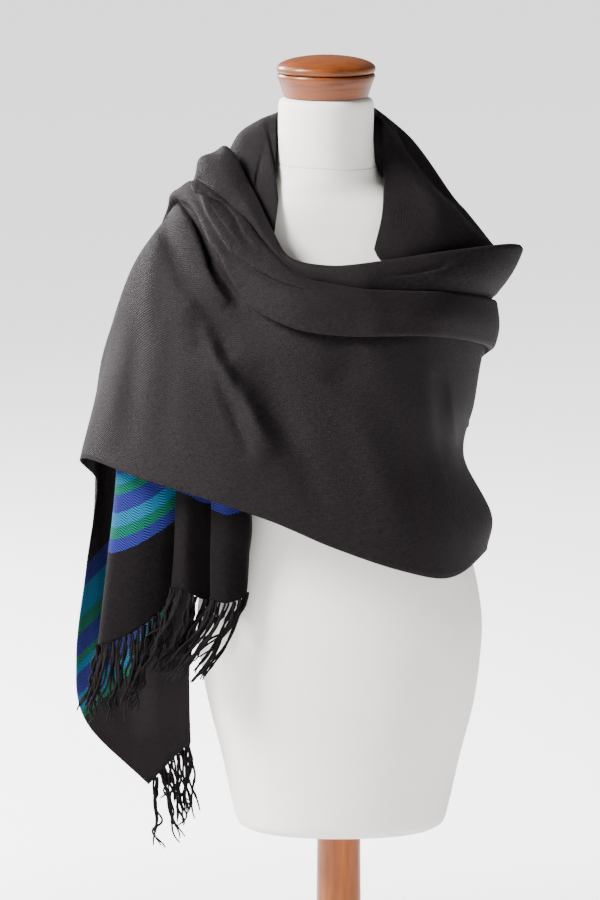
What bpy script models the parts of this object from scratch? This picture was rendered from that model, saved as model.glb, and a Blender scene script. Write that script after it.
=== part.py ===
"""A fringed shawl wrapped round a limbless dress form on a short turned stand.

Every table is in millimetres. X runs to the viewer's right, the front faces -Y, Z is up, and the
origin is the centre of the stand's underside. The shawl is one long rectangle of cloth; each
stretch of it that shows is a thin wall worked out from guide lines that run along its folds.
"""

import bpy
import numpy as np

MM = 0.001

# Cloth
CLOTH_WALL = 2.0
SEAM_HALF_GAP = 0.35
LEAST_BEND = 0.6

# Stand
BASE_RADIUS = 150.0
BASE_HEIGHT = 25.0
POLE_RADIUS_FOOT = 25.5
POLE_RADIUS_TOP = 24.0
FORM_BOTTOM = 219.0
TOUCH_GAP = 0.3

# Neck cap
NECK_TOP = 1030.0
NECK_LEAN = -14.5
CAP_FOOT_RADIUS = 46.5
CAP_RIM_RADIUS = 54.0
CAP_GROOVE_Z = 1056.5
LID_RIM_Z = 1062.0
LID_TOP_Z = 1075.5

# Fringe
STRAND_RADIUS = 1.9
STRAND_SIDES = 3
STRIP_HEIGHT = 4.0
STRIP_WALL = 3.0
STRIP_STEP = 5.0

# Dress form: height, centre x, half width, depth to the front, depth to the back, squareness
FORM_RINGS = (
    # z, centre, half_width, front, back, power
    (219.0, 2.0, 104.0, 76.0, 82.0, 2.2),
    (225.0, 2.0, 114.0, 85.0, 90.0, 2.2),
    (240.0, 2.0, 119.0, 89.0, 95.0, 2.2),
    (300.0, 2.5, 132.0, 94.0, 104.0, 2.2),
    (360.0, 2.5, 147.0, 98.0, 113.0, 2.2),
    (420.0, 1.0, 156.0, 100.0, 119.0, 2.2),
    (460.0, 0.5, 157.0, 99.0, 117.0, 2.2),
    (517.0, 0.0, 147.0, 93.0, 102.0, 2.2),
    (584.0, 0.0, 126.0, 84.0, 80.0, 2.2),
    (634.0, 0.0, 117.0, 82.0, 72.0, 2.2),
    (695.0, -2.0, 126.0, 94.0, 78.0, 2.2),
    (762.0, -3.0, 139.0, 116.0, 92.0, 2.0),
    (800.0, -4.0, 146.0, 107.0, 94.0, 2.1),
    (845.0, -5.0, 154.0, 82.0, 88.0, 2.2),
    (878.0, -7.0, 154.0, 66.0, 76.0, 2.2),
    (898.0, -8.0, 136.0, 60.0, 68.0, 2.2),
    (915.0, -10.0, 108.0, 56.0, 61.0, 2.1),
    (930.0, -12.0, 78.0, 53.0, 56.0, 2.0),
    (945.0, -14.0, 58.0, 53.0, 54.0, 2.0),
    (975.0, -15.0, 52.5, 51.0, 52.0, 2.0),
    (1020.0, -14.5, 52.0, 51.0, 51.0, 2.0),
    (1027.0, -14.5, 50.5, 49.5, 49.5, 2.0),
    (1030.0, -14.5, 46.0, 45.0, 45.0, 2.0),
)

# Crossing front: stations from the right back seam, over the chest, to the left edge
FRONT_FOLD = (0.0, 0.7, 1.0, 1.0, 1.0, 1.0, 1.0, 1.0, 0.45)
TOP_FOLD = (
    # x, y, z
    (178, 45, 843), (200, 0, 868), (126, -68, 868), (35, -104, 860), (-10, -108, 857),
    (-53, -102, 865), (-73, -86, 890), (-97, -40, 934), (-124, 5, 976),
)
BAND_FOLD = (
    (160, 48, 800), (170, 0, 808), (116, -88, 825), (37, -122, 832), (-2, -126, 838),
    (-42, -122, 848), (-77, -102, 874), (-110, -62, 914), (-157, -5, 941),
)
ROLL_LIP = (
    (150, 48, 733), (167, -4, 754), (109, -105, 783), (50, -136, 789), (3, -142, 790),
    (-53, -138, 799), (-100, -115, 823), (-132, -82, 879), (-177, -10, 922),
)
PANEL_UPPER = (
    (145, 48, 688), (144, 0, 690), (110, -85, 709), (66, -118, 714), (6, -128, 716),
    (-58, -126, 726), (-113, -114, 757), (-165, -86, 815), (-221, -12, 851),
)
PANEL_MIDDLE = (
    (134, 48, 626), (133, 0, 636), (110, -78, 647), (66, -112, 642), (6, -125, 644),
    (-64, -128, 655), (-126, -120, 682), (-189, -88, 735), (-248, -12, 751),
)
PANEL_LOWER = (
    (156, 54, 563), (167, 0, 567), (126, -80, 570), (66, -118, 582), (1, -128, 597),
    (-69, -130, 618), (-136, -122, 644), (-203, -88, 674), (-269, -12, 678),
)
PANEL_HEM = (
    (158, 58, 523), (160, -12, 528), (119, -82, 512), (61, -118, 528), (-8, -129, 554),
    (-74, -131, 583), (-145, -122, 606), (-216, -88, 623), (-282, -12, 633),
)

# Tucked part of each rib: from one guide towards the next, the drop along the rib when smooth and
# when folded, and the depth outward when folded
RIB_KNOTS = (
    # guide, share, smooth_drop, folded_drop, folded_out
    (0, 0.0, 0.0, 10.0, -7.0),
    (0, 0.0, 3.0, 2.0, -6.0),
    (0, 0.0, 6.0, -2.5, -2.0),
    (0, 0.0, 9.0, 1.5, 1.5),
    (0, 0.5, 0.0, 0.0, 4.0),
    (1, 0.0, -7.5, -5.0, -1.0),
    (1, 0.0, -4.5, 2.0, -5.0),
    (1, 0.0, -1.5, 8.5, -8.0),
    (1, 0.0, 1.5, 10.5, -4.5),
    (1, 0.0, 4.5, -1.5, 0.5),
    (1, 0.0, 7.5, 1.0, 4.0),
    (1, 0.5, 0.0, 0.0, 8.0),
    (2, 0.0, -7.5, -4.0, 2.0),
    (2, 0.0, -4.5, 1.0, -1.5),
    (2, 0.0, -1.5, 0.0, -6.0),
    (2, 0.0, 1.5, -8.0, -9.0),
    (2, 0.0, 4.5, -9.0, -13.0),
    (2, 0.0, 7.5, 8.0, -14.5),
)
ROLL_KNOT = 12
RIM_SPAN = 60.0

# Collar and back: one row for each radial fold from the left front, behind the neck, to the front
COLLAR_FOLDS = (
    # neck edge, upper, middle, outer edge
    ((-72, -76, 884), (-75, -76, 881), (-79, -75, 876), (-84, -72, 869)),
    ((-70, -46, 924), (-77, -47, 921), (-84, -46, 917), (-90, -44, 912)),
    ((-69, -14, 976), (-84, -14, 970), (-96, -13, 958), (-105, -12, 941)),
    ((-68, 14, 1008), (-88, 16, 1002), (-112, 22, 984), (-127, 30, 941)),
    ((-57, 58, 1008), (-76, 76, 985), (-102, 86, 944), (-141, 88, 880)),
    ((-14, 76, 1010), (-15, 90, 984), (-15, 104, 944), (-15, 112, 880)),
    ((26, 56, 1012), (48, 70, 986), (74, 84, 936), (108, 92, 876)),
    ((35, 36, 1014), (70, 42, 976), (108, 46, 915), (178, 45, 843)),
    ((39, 22, 1015), (80, 24, 980), (123, 22, 920), (166, 20, 860)),
    ((42, 12, 1007), (76, 12, 968), (118, 8, 914), (174, 3, 856)),
    ((46, 2, 1000), (68, 0, 968), (110, -14, 922), (165, -19, 850)),
    ((48, -22, 955), (78, -32, 932), (112, -50, 892), (138, -41, 848)),
    ((46, -60, 911), (58, -68, 896), (80, -76, 871), (104, -69, 843)),
    ((37, -83, 874), (41, -86, 866), (48, -87, 857), (56, -86, 843)),
)
BACK_FIRST_FOLD = 4
BACK_SEAM_FOLD = 7
BACK_SIDE = ((-150, 98, 760), (-142, 92, 626), (-139, 104, 545), (-140, 112, 486))
BACK_LEFT = ((-90, 110, 750), (-80, 112, 622), (-82, 126, 540), (-84, 138, 462))
BACK_RIGHT = ((98, 100, 755), (84, 96, 623), (96, 112, 545), (102, 122, 470))
BACK_FALL = (BACK_SIDE, BACK_LEFT, BACK_RIGHT)
COLLAR_KNOTS = (-150.0, -110.0, -60.0, 0.0)
COLLAR_FALL = (90.0, 200.0, 280.0, 340.0)
FRONT_LEAD = (-45.0, 50.0, 0.0)
BACK_LEAD = (6.0, -48.0, 0.0)

# End thrown over the left shoulder: one row for each fold, from the front's left edge to its hem
OVER_SHARE = (0.0, 0.31, 0.52, 0.78, 1.0)
OVER_KNOTS = (RIM_SPAN, 260.0, 410.0, 500.0, 570.0)
OVER_FOLDS = (
    ((-150, 106, 905), (-158, 126, 655), (-186, 100, 454), (-208, 78, 357), (-219, 62, 295)),
    ((-200, 62, 841), (-182, 84, 628), (-168, 60, 462), (-167, 44, 375), (-166, 31, 307)),
    ((-247, 42, 745), (-225, 50, 565), (-209, 40, 443), (-198, 30, 366), (-182, 19, 292)),
    ((-268, 40, 640), (-266, 34, 489), (-259, 24, 390), (-239, 18, 326), (-197, 9, 277)),
    ((-268, 26, 600), (-280, 22, 500), (-291, 12, 400), (-279, 6, 332), (-211, 0, 264)),
)

# End that hangs under the front: one row for each pleat edge
UNDER_PLEATS = (
    # top,            shoulder,         upper,            middle,            lower,             hem
    ((-168, 22, 915), (-188, 16, 874), (-230, 8, 760), (-230, -8, 600), (-238, -10, 520), (-250, -12, 430)),
    ((-165, 17, 917), (-187, 6, 874), (-234, -6, 760), (-245, -20, 600), (-254, -22, 520), (-265, -24, 428)),
    ((-162, 13, 918), (-183, -2, 874), (-224, -14, 760), (-240, -36, 598), (-248, -38, 518), (-256, -38, 430)),
    ((-159, 9, 919), (-178, -10, 874), (-210, -24, 760), (-216, -50, 598), (-222, -54, 524), (-226, -52, 446)),
    ((-156, 5, 920), (-172, -16, 874), (-196, -34, 760), (-192, -52, 596), (-198, -56, 527), (-200, -54, 466)),
    ((-153, 1, 920), (-167, -20, 873), (-180, -36, 760), (-172, -48, 596), (-176, -50, 530), (-180, -52, 487)),
    ((-150, -6, 920), (-162, -26, 873), (-172, -44, 760), (-178, -62, 600), (-180, -66, 540), (-183, -66, 499)),
    ((-147, -13, 919), (-158, -34, 874), (-162, -54, 760), (-166, -80, 600), (-168, -84, 540), (-168, -82, 498)),
    ((-144, -18, 918), (-154, -40, 873), (-154, -56, 760), (-148, -76, 598), (-148, -78, 540), (-150, -78, 488)),
    ((-141, -22, 918), (-150, -44, 873), (-146, -58, 760), (-132, -74, 598), (-132, -76, 540), (-134, -74, 490)),
    ((-137, -26, 918), (-146, -49, 873), (-142, -66, 760), (-139, -90, 600), (-140, -92, 540), (-140, -90, 492)),
    ((-134, -29, 917), (-142, -53, 872), (-138, -70, 760), (-122, -104, 598), (-122, -104, 538), (-124, -103, 488)),
    ((-131, -31, 917), (-138, -56, 872), (-135, -63, 765), (-103, -100, 598), (-103, -98, 536), (-104, -97, 494)),
    ((-128, -29, 916), (-131.2, -51.0, 872), (-132.0, -56.0, 768), (-98, -84, 600), (-99, -82, 534), (-101, -80, 500)),
)

# Fringe: share of the hem, sideways and forward drift, and length of the strands there
UNDER_FRINGE = (
    # share, drift_x, drift_y, length
    (0.0, -14.0, -4.0, 74.0),
    (0.3, -16.0, -8.0, 84.0),
    (0.55, -26.0, -10.0, 70.0),
    (0.75, -44.0, -8.0, 82.0),
    (1.0, -50.0, -8.0, 84.0),
)
OVER_FRINGE = (
    (0.0, 6.0, -4.0, 70.0),
    (0.35, 8.0, -2.0, 84.0),
    (0.65, 12.0, 2.0, 70.0),
    (1.0, 14.0, 6.0, 66.0),
)
STRANDS_UNDER = 34
STRANDS_OVER = 20

# Largest creases of the front: start, end (x, z), depth inward and half width
FRONT_CREASES = (
    # x0, z0, x1, z1, depth, width
    (-160, 800, -118, 766, 9.0, 16.0),
    (-146, 762, -112, 716, -9.0, 15.0),
    (-112, 716, -82, 655, -7.0, 15.0),
    (-86, 745, -56, 668, 7.0, 18.0),
    (18, 770, -6, 735, 6.0, 18.0),
    (112, 735, 118, 650, 7.0, 12.0),
)

# Soft folds of the back and of the over-shoulder end: share across, share down at the start and
# the end, sideways run of the fold, height outward and half width as a share
BACK_RIPPLES = (
    # across0, down0, across1, down1, height, width
    (6.6, 150.0, 4.6, 520.0, 9.0, 0.42),
    (6.9, 40.0, 5.2, 300.0, 8.0, 0.38),
    (5.7, -60.0, 4.4, 330.0, -7.0, 0.34),
    (6.2, 260.0, 6.5, 620.0, 10.0, 0.34),
    (5.3, 330.0, 5.5, 620.0, -8.0, 0.34),
)
OVER_RIPPLES = (
    # rib share at the top and at the hem, height and half width
    (0.20, 0.24, 10.0, 0.06),
    (0.33, 0.40, -6.0, 0.07),
    (0.46, 0.58, 9.0, 0.07),
    (0.66, 0.74, -8.0, 0.07),
)

COLOURS = {
    "shawl": ((0.020, 0.018, 0.019), 0.9),
    "form": ((0.72, 0.70, 0.67), 0.8),
    "cap": ((0.19, 0.06, 0.025), 0.25),
    "pole": ((0.45, 0.22, 0.07), 0.35),
}


def clear_scene():
    """Remove every object of the open file."""
    for item in list(bpy.data.objects):
        bpy.data.objects.remove(item, do_unlink=True)


def finish_material(name):
    """Plain material of one finish, shared by every piece that has it."""
    material = bpy.data.materials.get(name)
    if material:
        return material
    colour, roughness = COLOURS[name]
    material = bpy.data.materials.new(name)
    material.use_nodes = True
    shader = material.node_tree.nodes["Principled BSDF"]
    shader.inputs["Base Color"].default_value = (*colour, 1.0)
    shader.inputs["Roughness"].default_value = roughness
    return material


def spline(at, knots, points):
    """Smooth cubic through points at rising knots, read at each value of at.

    Each point's slope is the chord between its neighbours, so a fold stays where its row puts it.
    """
    knots = np.asarray(knots, float)
    points = np.asarray(points, float)
    slopes = np.empty_like(points)
    spans = np.diff(knots)
    shape = (-1,) + (1,) * (points.ndim - 1)
    slopes[1:-1] = (points[2:] - points[:-2]) / (spans[1:] + spans[:-1]).reshape(shape)
    slopes[0] = (points[1] - points[0]) / spans[0]
    slopes[-1] = (points[-1] - points[-2]) / spans[-1]
    at = np.clip(np.asarray(at, float), knots[0], knots[-1])
    left = np.clip(np.searchsorted(knots, at, side="right") - 1, 0, len(spans) - 1)
    span = spans[left]
    s = ((at - knots[left]) / span).reshape(shape)
    span = span.reshape(shape)
    return ((2 * s**3 - 3 * s**2 + 1) * points[left] + (s**3 - 2 * s**2 + s) * span * slopes[left]
            + (3 * s**2 - 2 * s**3) * points[left + 1] + (s**3 - s**2) * span * slopes[left + 1])


def split(knots, parts):
    """Values that cut each span between knots into its number of equal parts."""
    pieces = [np.linspace(a, b, n, endpoint=False) for a, b, n in zip(knots, knots[1:], parts)]
    return np.concatenate(pieces + [[knots[-1]]])


def chord_knots(net):
    """Knots along the second axis of a net of points, from its mean chord lengths."""
    chords = np.linalg.norm(np.diff(net, axis=1), axis=2).mean(axis=0)
    return np.concatenate([[0.0], np.cumsum(chords)])


def unit(vectors):
    """Vectors scaled to length one."""
    return vectors / np.linalg.norm(vectors, axis=-1, keepdims=True)


def front_net():
    """Points on each station's rib: turned top, two bands with tucks, then the panel."""
    guides = np.array([TOP_FOLD, BAND_FOLD, ROLL_LIP], float)
    panel = [np.array(line, float) for line in (PANEL_UPPER, PANEL_MIDDLE, PANEL_LOWER, PANEL_HEM)]
    down = unit(guides[2] - guides[0])
    out = unit(np.cross(np.gradient(guides[1], axis=0), down))
    fold = np.array(FRONT_FOLD)[:, None]
    rib = []
    for guide, share, smooth_drop, folded_drop, folded_out in RIB_KNOTS:
        base = guides[guide] + (guides[min(guide + 1, 2)] - guides[guide]) * share
        drop = smooth_drop + (folded_drop - smooth_drop) * fold ** 2
        rib.append(base + down * drop + out * folded_out * fold ** 0.5)
    return np.stack(rib + panel, axis=1)


def crease(grid, creases):
    """Push a front facing grid in, or out, along straight soft creases that fade at both ends."""
    for x0, z0, x1, z1, depth, width in creases:
        start, run = np.array([x0, z0]), np.array([x1 - x0, z1 - z0])
        offset = grid[..., [0, 2]] - start
        along = (offset @ run) / (run @ run)
        nearest = np.clip(along, 0, 1)
        gap = np.linalg.norm(offset - nearest[..., None] * run, axis=-1)
        fade = np.clip(np.sin(np.pi * np.clip(along, -0.2, 1.2) * 0.7 + 0.45), 0, 1)
        grid[..., 1] += depth * fade * np.exp(-(gap / width) ** 2)
    return grid


def front_knots(net):
    """Knots down the rib, and along the stations, of the crossing front."""
    return chord_knots(net), chord_knots(net.transpose(1, 0, 2))


def rib_split(down_knots, panel, folds):
    """Values down a rib: so many parts for each span of the folds and of the panel."""
    tucks = len(RIB_KNOTS) - 1
    return split(down_knots, [folds] * tucks + [panel] * (len(down_knots) - 1 - tucks))


def front_surface(across=3, panel=3, folds=1):
    """The crossing front as a grid: stations by points down the rib."""
    net = front_net()
    down_knots, along_knots = front_knots(net)
    before = net[0] + np.array(FRONT_LEAD)
    after = over_rails(net, down_knots)[:, 0]
    net_wide = np.concatenate([[before], net, [after]])
    knots = np.concatenate([[-RIM_SPAN], along_knots, [along_knots[-1] + RIM_SPAN]])
    ribs = spline(rib_split(down_knots, panel, folds), down_knots, net_wide.transpose(1, 0, 2))
    grid = spline(split(along_knots, [across] * (len(net) - 1)), knots, ribs.transpose(1, 0, 2))
    return crease(grid, FRONT_CREASES)


def directions(grid, axis):
    """At each point the sum of the directions of the grid lines that meet there."""
    steps = np.moveaxis(unit(np.diff(grid, axis=axis)), axis, 0)
    joined = np.concatenate([2 * steps[:1], steps[1:] + steps[:-1], 2 * steps[-1:]])
    return np.moveaxis(joined, 0, axis)


def surface_normals(grid):
    """Unit normals of a grid that halve the angle of each fold."""
    return unit(np.cross(directions(grid, 0), directions(grid, 1)))


def wall_offsets(grid):
    """Normals lengthened at sharp folds, so that the wall keeps its thickness there."""
    bend = np.linalg.norm(directions(grid, 1), axis=-1, keepdims=True) / 2
    return surface_normals(grid) / np.clip(bend, LEAST_BEND, 1.0)


def over_rails(net, down_knots):
    """The over-shoulder end's guide points, spread over the same rib points as the front."""
    share = 1 - down_knots / down_knots[-1]
    folds = np.array(OVER_FOLDS, float)
    return spline(1 - share, OVER_SHARE, folds)


def over_surface(parts=3, panel=3, folds=1):
    """The end over the left shoulder: from the front's left edge back and down to its hem."""
    net = front_net()
    down_knots, _ = front_knots(net)
    rails = over_rails(net, down_knots)
    wide = np.concatenate([net[-2][:, None], net[-1][:, None], rails], axis=1)
    knots = np.array((-RIM_SPAN, 0.0) + OVER_KNOTS)
    rows = split(knots[1:], [parts, parts + 1, parts, parts, parts])
    grid = spline(rows, knots, wide.transpose(1, 0, 2))
    down = rib_split(down_knots, panel, folds)
    grid = spline(down, down_knots, grid.transpose(1, 0, 2)).transpose(1, 0, 2)
    across = (down / down[-1])[None, :]
    fall = (rows / rows[-1])[:, None]
    lift = np.zeros(grid.shape[:2])
    for top, hem, height, width in OVER_RIPPLES:
        ridge = np.exp(-((across - top - (hem - top) * fall) / width) ** 2)
        lift += height * ridge * np.sin(np.pi * np.clip(fall, 0, 1) ** 0.8)
    return grid - surface_normals(grid) * lift[..., None]


def back_surface(across=2, rise=2, panel=3, folds=1):
    """Collar and back as one grid of radial ribs, with the mask of the faces that exist."""
    collar = np.array(COLLAR_FOLDS, float)
    net = front_net()
    shared = [ROLL_KNOT, -3, -2, -1]
    down_knots, _ = front_knots(net)
    down = rib_split(down_knots, panel, folds)
    seam = spline(down, down_knots, net[0])
    fall = np.array(BACK_FALL, float)
    count = len(collar)
    low = np.repeat(collar[:, -1][:, None], len(COLLAR_FALL), axis=1)
    low[:, :, 2] -= np.array(COLLAR_FALL)
    low[BACK_FIRST_FOLD:BACK_SEAM_FOLD] = fall
    low[BACK_SEAM_FOLD] = net[0][shared]
    low[BACK_SEAM_FOLD + 1] = low[BACK_SEAM_FOLD] + np.array(BACK_LEAD)
    rib = np.concatenate([collar, low], axis=1)
    rib_knots = np.concatenate([COLLAR_KNOTS, down_knots[shared]])
    rows = np.concatenate([split(COLLAR_KNOTS, [rise] * (len(COLLAR_KNOTS) - 1))[:-1], down])
    columns = split(np.arange(count), [across] * (count - 1))
    grid = spline(columns, np.arange(count), rib)
    grid = spline(rows, rib_knots, grid.transpose(1, 0, 2)).transpose(1, 0, 2)
    lift = np.zeros(grid.shape[:2])
    for across0, down0, across1, down1, height, width in BACK_RIPPLES:
        share = np.clip((rows - down0) / (down1 - down0), -0.15, 1.15)[None, :]
        ridge = columns[:, None] - across0 - (across1 - across0) * share
        lift += height * np.exp(-(ridge / width) ** 2) * np.clip(np.sin(np.pi * (share + 0.15) / 1.3), 0, 1)
    lift *= np.clip((BACK_SEAM_FOLD - columns) / 0.8, 0, 1)[:, None]
    grid = grid + surface_normals(grid) * lift[..., None]
    seam_column = BACK_SEAM_FOLD * across
    drop = len(rows) - len(down)
    miss = seam - grid[seam_column, drop:]
    for step in range(across):
        grid[seam_column - step, drop:] += miss * (1 - step / across)
    mask = np.ones((len(columns) - 1, len(rows) - 1), bool)
    mask[seam_column:, drop:] = False
    mask[:BACK_FIRST_FOLD * across, drop:] = False
    return grid, mask


def under_surface(across=2, parts=3):
    """The end under the front: a pleated fall whose pleat edges are the table's rows."""
    pleats = np.array(UNDER_PLEATS, float)
    rows = split(np.arange(6), [1, 2] + [parts] * 3)
    columns = split(np.arange(len(pleats)), [across] * (len(pleats) - 1))
    grid = spline(columns, np.arange(len(pleats)), pleats)
    return spline(rows, np.arange(6), grid.transpose(1, 0, 2)).transpose(1, 0, 2)


def draw_back(grid, edge, gap):
    """Shorten a grid at its first or last column, so that a seam keeps a small gap."""
    inner = 1 if edge == 0 else -2
    grid[edge] += unit(grid[inner] - grid[edge]) * gap


def grid_faces(columns, rows, mask=None):
    """Corner numbers of the quads of a grid, where the mask allows them."""
    i, j = np.meshgrid(np.arange(columns - 1), np.arange(rows - 1), indexing="ij")
    if mask is not None:
        i, j = i[mask], j[mask]
    corner = (i * rows + j).ravel()
    return np.stack([corner, corner + 1, corner + rows + 1, corner + rows], axis=1)


def cut_quads(points, quads):
    """Two triangles for each quad, cut along its shorter diagonal."""
    a, b, c, d = (points[corner] for corner in quads.T)
    turned_cut = np.linalg.norm(a - c, axis=1) > np.linalg.norm(b - d, axis=1)
    quads = np.where(turned_cut[:, None], np.roll(quads, -1, axis=1), quads)
    return np.concatenate([quads[:, [0, 1, 2]], quads[:, [0, 2, 3]]])


def new_object(name, points, faces, finish, smooth=True):
    """Object of the given millimetre points and faces, in metres."""
    used = np.unique(np.concatenate([np.ravel(face) for face in faces]))
    renumber = np.zeros(len(points), int)
    renumber[used] = np.arange(len(used))
    mesh = bpy.data.meshes.new(name)
    corners = [renumber[np.array(face)].tolist() for face in faces]
    mesh.from_pydata((points[used] * MM).tolist(), [], corners)
    mesh.materials.append(finish_material(finish))
    if smooth:
        mesh.shade_smooth()
    body = bpy.data.objects.new(name, mesh)
    bpy.context.scene.collection.objects.link(body)
    return body


def cloth_wall(name, grid, normals, mask=None):
    """A wall of cloth: the grid moved half its thickness to each side, closed round its edges."""
    columns, rows = grid.shape[:2]
    half = CLOTH_WALL / 2
    quads = grid_faces(columns, rows, mask)
    count = columns * rows
    edges = np.concatenate([quads[:, [k, (k + 1) % 4]] for k in range(4)])
    forward = edges[:, 0] * count + edges[:, 1]
    backward = edges[:, 1] * count + edges[:, 0]
    rim = edges[~np.isin(forward, backward)]
    walls = np.stack([rim[:, 0], rim[:, 1], rim[:, 1] + count, rim[:, 0] + count], axis=1)
    points = np.concatenate([grid + normals * half, grid - normals * half]).reshape(-1, 3)
    halves = cut_quads(grid.reshape(-1, 3), quads)
    faces = [*halves[:, ::-1], *(halves + count), *walls]
    return new_object(name, points, faces, "shawl")


def stacked_rings(name, rings, finish):
    """Closed body through rings of equal point counts, from the lowest to the highest."""
    count, around = rings.shape[:2]
    faces = []
    for level in range(count - 1):
        for k in range(around):
            a, b = level * around + k, level * around + (k + 1) % around
            faces.append((a, b, b + around, a + around))
    faces.append(tuple(range(around - 1, -1, -1)))
    faces.append(tuple((count - 1) * around + k for k in range(around)))
    return new_object(name, rings.reshape(-1, 3), faces, finish)


def form_rings(around=36, parts=1):
    """Rings of the dress form: a rounded square of its row's half width and two depths."""
    table = np.array(FORM_RINGS)
    chords = np.hypot(np.diff(table[:, 0]), np.diff(table[:, 2]))
    knots = np.concatenate([[0.0], np.cumsum(chords)])
    rows = spline(split(knots, [parts] * len(chords)), knots, table)
    angle = np.linspace(0, 2 * np.pi, around, endpoint=False)
    z, centre, wide, front, back, power = (column[:, None] for column in rows.T)
    cos, sin = np.cos(angle)[None], np.sin(angle)[None]
    depth = np.where(sin < 0, front, back)
    x = centre + wide * np.sign(cos) * np.abs(cos) ** (2 / power)
    y = depth * np.sign(sin) * np.abs(sin) ** (2 / power)
    return np.stack([x, y, np.broadcast_to(z, x.shape)], axis=-1)


def turned(name, profile, centre_x, finish, around=40):
    """Body turned from a profile of radius and height, lowest first."""
    angle = np.linspace(0, 2 * np.pi, around, endpoint=False)
    radius, z = np.array(profile, float).T
    rings = np.stack([
        centre_x + radius[:, None] * np.cos(angle),
        radius[:, None] * np.sin(angle),
        np.broadcast_to(z[:, None], (len(z), around)),
    ], axis=-1)
    return stacked_rings(name, rings, finish)


def make_form():
    """Torso with its neck in one body."""
    return stacked_rings("form_torso", form_rings(), "form")


def make_cap():
    """Tapered wooden block on the neck, and its low domed lid."""
    foot, rim = CAP_FOOT_RADIUS, CAP_RIM_RADIUS
    low = NECK_TOP + TOUCH_GAP
    block = (
        (foot - 2, low), (foot, low + 2), (foot + 4.5, low + 16), (rim - 0.5, CAP_GROOVE_Z - 4),
        (rim - 1.5, CAP_GROOVE_Z - 0.5), (rim - 5, CAP_GROOVE_Z),
    )
    turned("cap_block", block, NECK_LEAN, "cap")
    lid_low = CAP_GROOVE_Z + TOUCH_GAP
    lid = [(rim - 5, lid_low), (rim - 1.5, lid_low + 0.8), (rim, lid_low + 3.2), (rim - 0.3, LID_RIM_Z)]
    for turn in (0.25, 0.5, 0.75, 0.95):
        lid.append((rim * np.cos(turn * np.pi / 2), LID_RIM_Z + (LID_TOP_Z - LID_RIM_Z) * np.sin(turn * np.pi / 2)))
    turned("cap_lid", lid, NECK_LEAN, "cap")


def make_stand():
    """Round pole under the form and the plain turned base that it stands in."""
    low = BASE_HEIGHT + TOUCH_GAP
    turned("pole", ((POLE_RADIUS_FOOT, low), (POLE_RADIUS_TOP, FORM_BOTTOM - TOUCH_GAP)), 0.0, "pole", 28)
    base = (
        (BASE_RADIUS - 2, 0.0), (BASE_RADIUS, 2.0), (BASE_RADIUS, 10.0), (BASE_RADIUS - 3, 14.0),
        (BASE_RADIUS - 12, 16.0), (BASE_RADIUS - 40, 19.0), (60.0, 22.0), (40.0, BASE_HEIGHT),
    )
    turned("base", base, 0.0, "pole", 48)


def strip_rings(line, height, wall):
    """Square ring at each point of a hem line, for the strip that carries the strands."""
    along = unit(np.gradient(line, axis=0))
    down = np.array([0.0, 0.0, -1.0]) - along * along[:, 2:3] * -1.0
    down = unit(down)
    side = np.cross(along, down)
    corners = ((0, -1), (0, 1), (1, 1), (1, -1))
    return np.stack([line + down * height * a + side * wall / 2 * b for a, b in corners], axis=1)


def strand_rings(root, drift, length, sides, steps):
    """Rings of one strand that leaves the strip and falls with a soft sideways drift."""
    t = np.linspace(0, 1, steps)[:, None]
    path = root + drift * (t ** 1.3) + np.array([0.0, 0.0, -length]) * t
    radius = STRAND_RADIUS * np.where(t < 0.9, 1.0, 0.75)
    angle = np.linspace(0, 2 * np.pi, sides, endpoint=False)
    ring = np.stack([np.cos(angle), np.sin(angle), np.zeros(sides)], axis=-1)
    return path[:, None] + radius[:, None] * ring[None]


def tube_faces(count, around, first):
    """Faces of a closed tube of count rings that wind against its path, numbered from first."""
    faces = []
    for level in range(count - 1):
        for k in range(around):
            a = first + level * around + k
            b = first + level * around + (k + 1) % around
            faces.append((a, a + around, b + around, b))
    faces.append(tuple(first + k for k in range(around)))
    faces.append(tuple(first + (count - 1) * around + k for k in range(around - 1, -1, -1)))
    return faces


def hem_line(edge, count):
    """Evenly spaced points along the hem of a sheet, just under its wall."""
    lengths = np.concatenate([[0.0], np.cumsum(np.linalg.norm(np.diff(edge, axis=0), axis=1))])
    share = np.linspace(0, 1, count)
    points = np.stack([np.interp(share, lengths / lengths[-1], edge[:, k]) for k in range(3)], axis=-1)
    return points, share


def spaced(line, least):
    """The points of a line that are at least so far apart, with both of its ends."""
    kept = [line[0]]
    for point in line[1:-1]:
        if np.linalg.norm(point - kept[-1]) >= least and np.linalg.norm(point - line[-1]) >= least:
            kept.append(point)
    return np.array(kept + [line[-1]])


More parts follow.
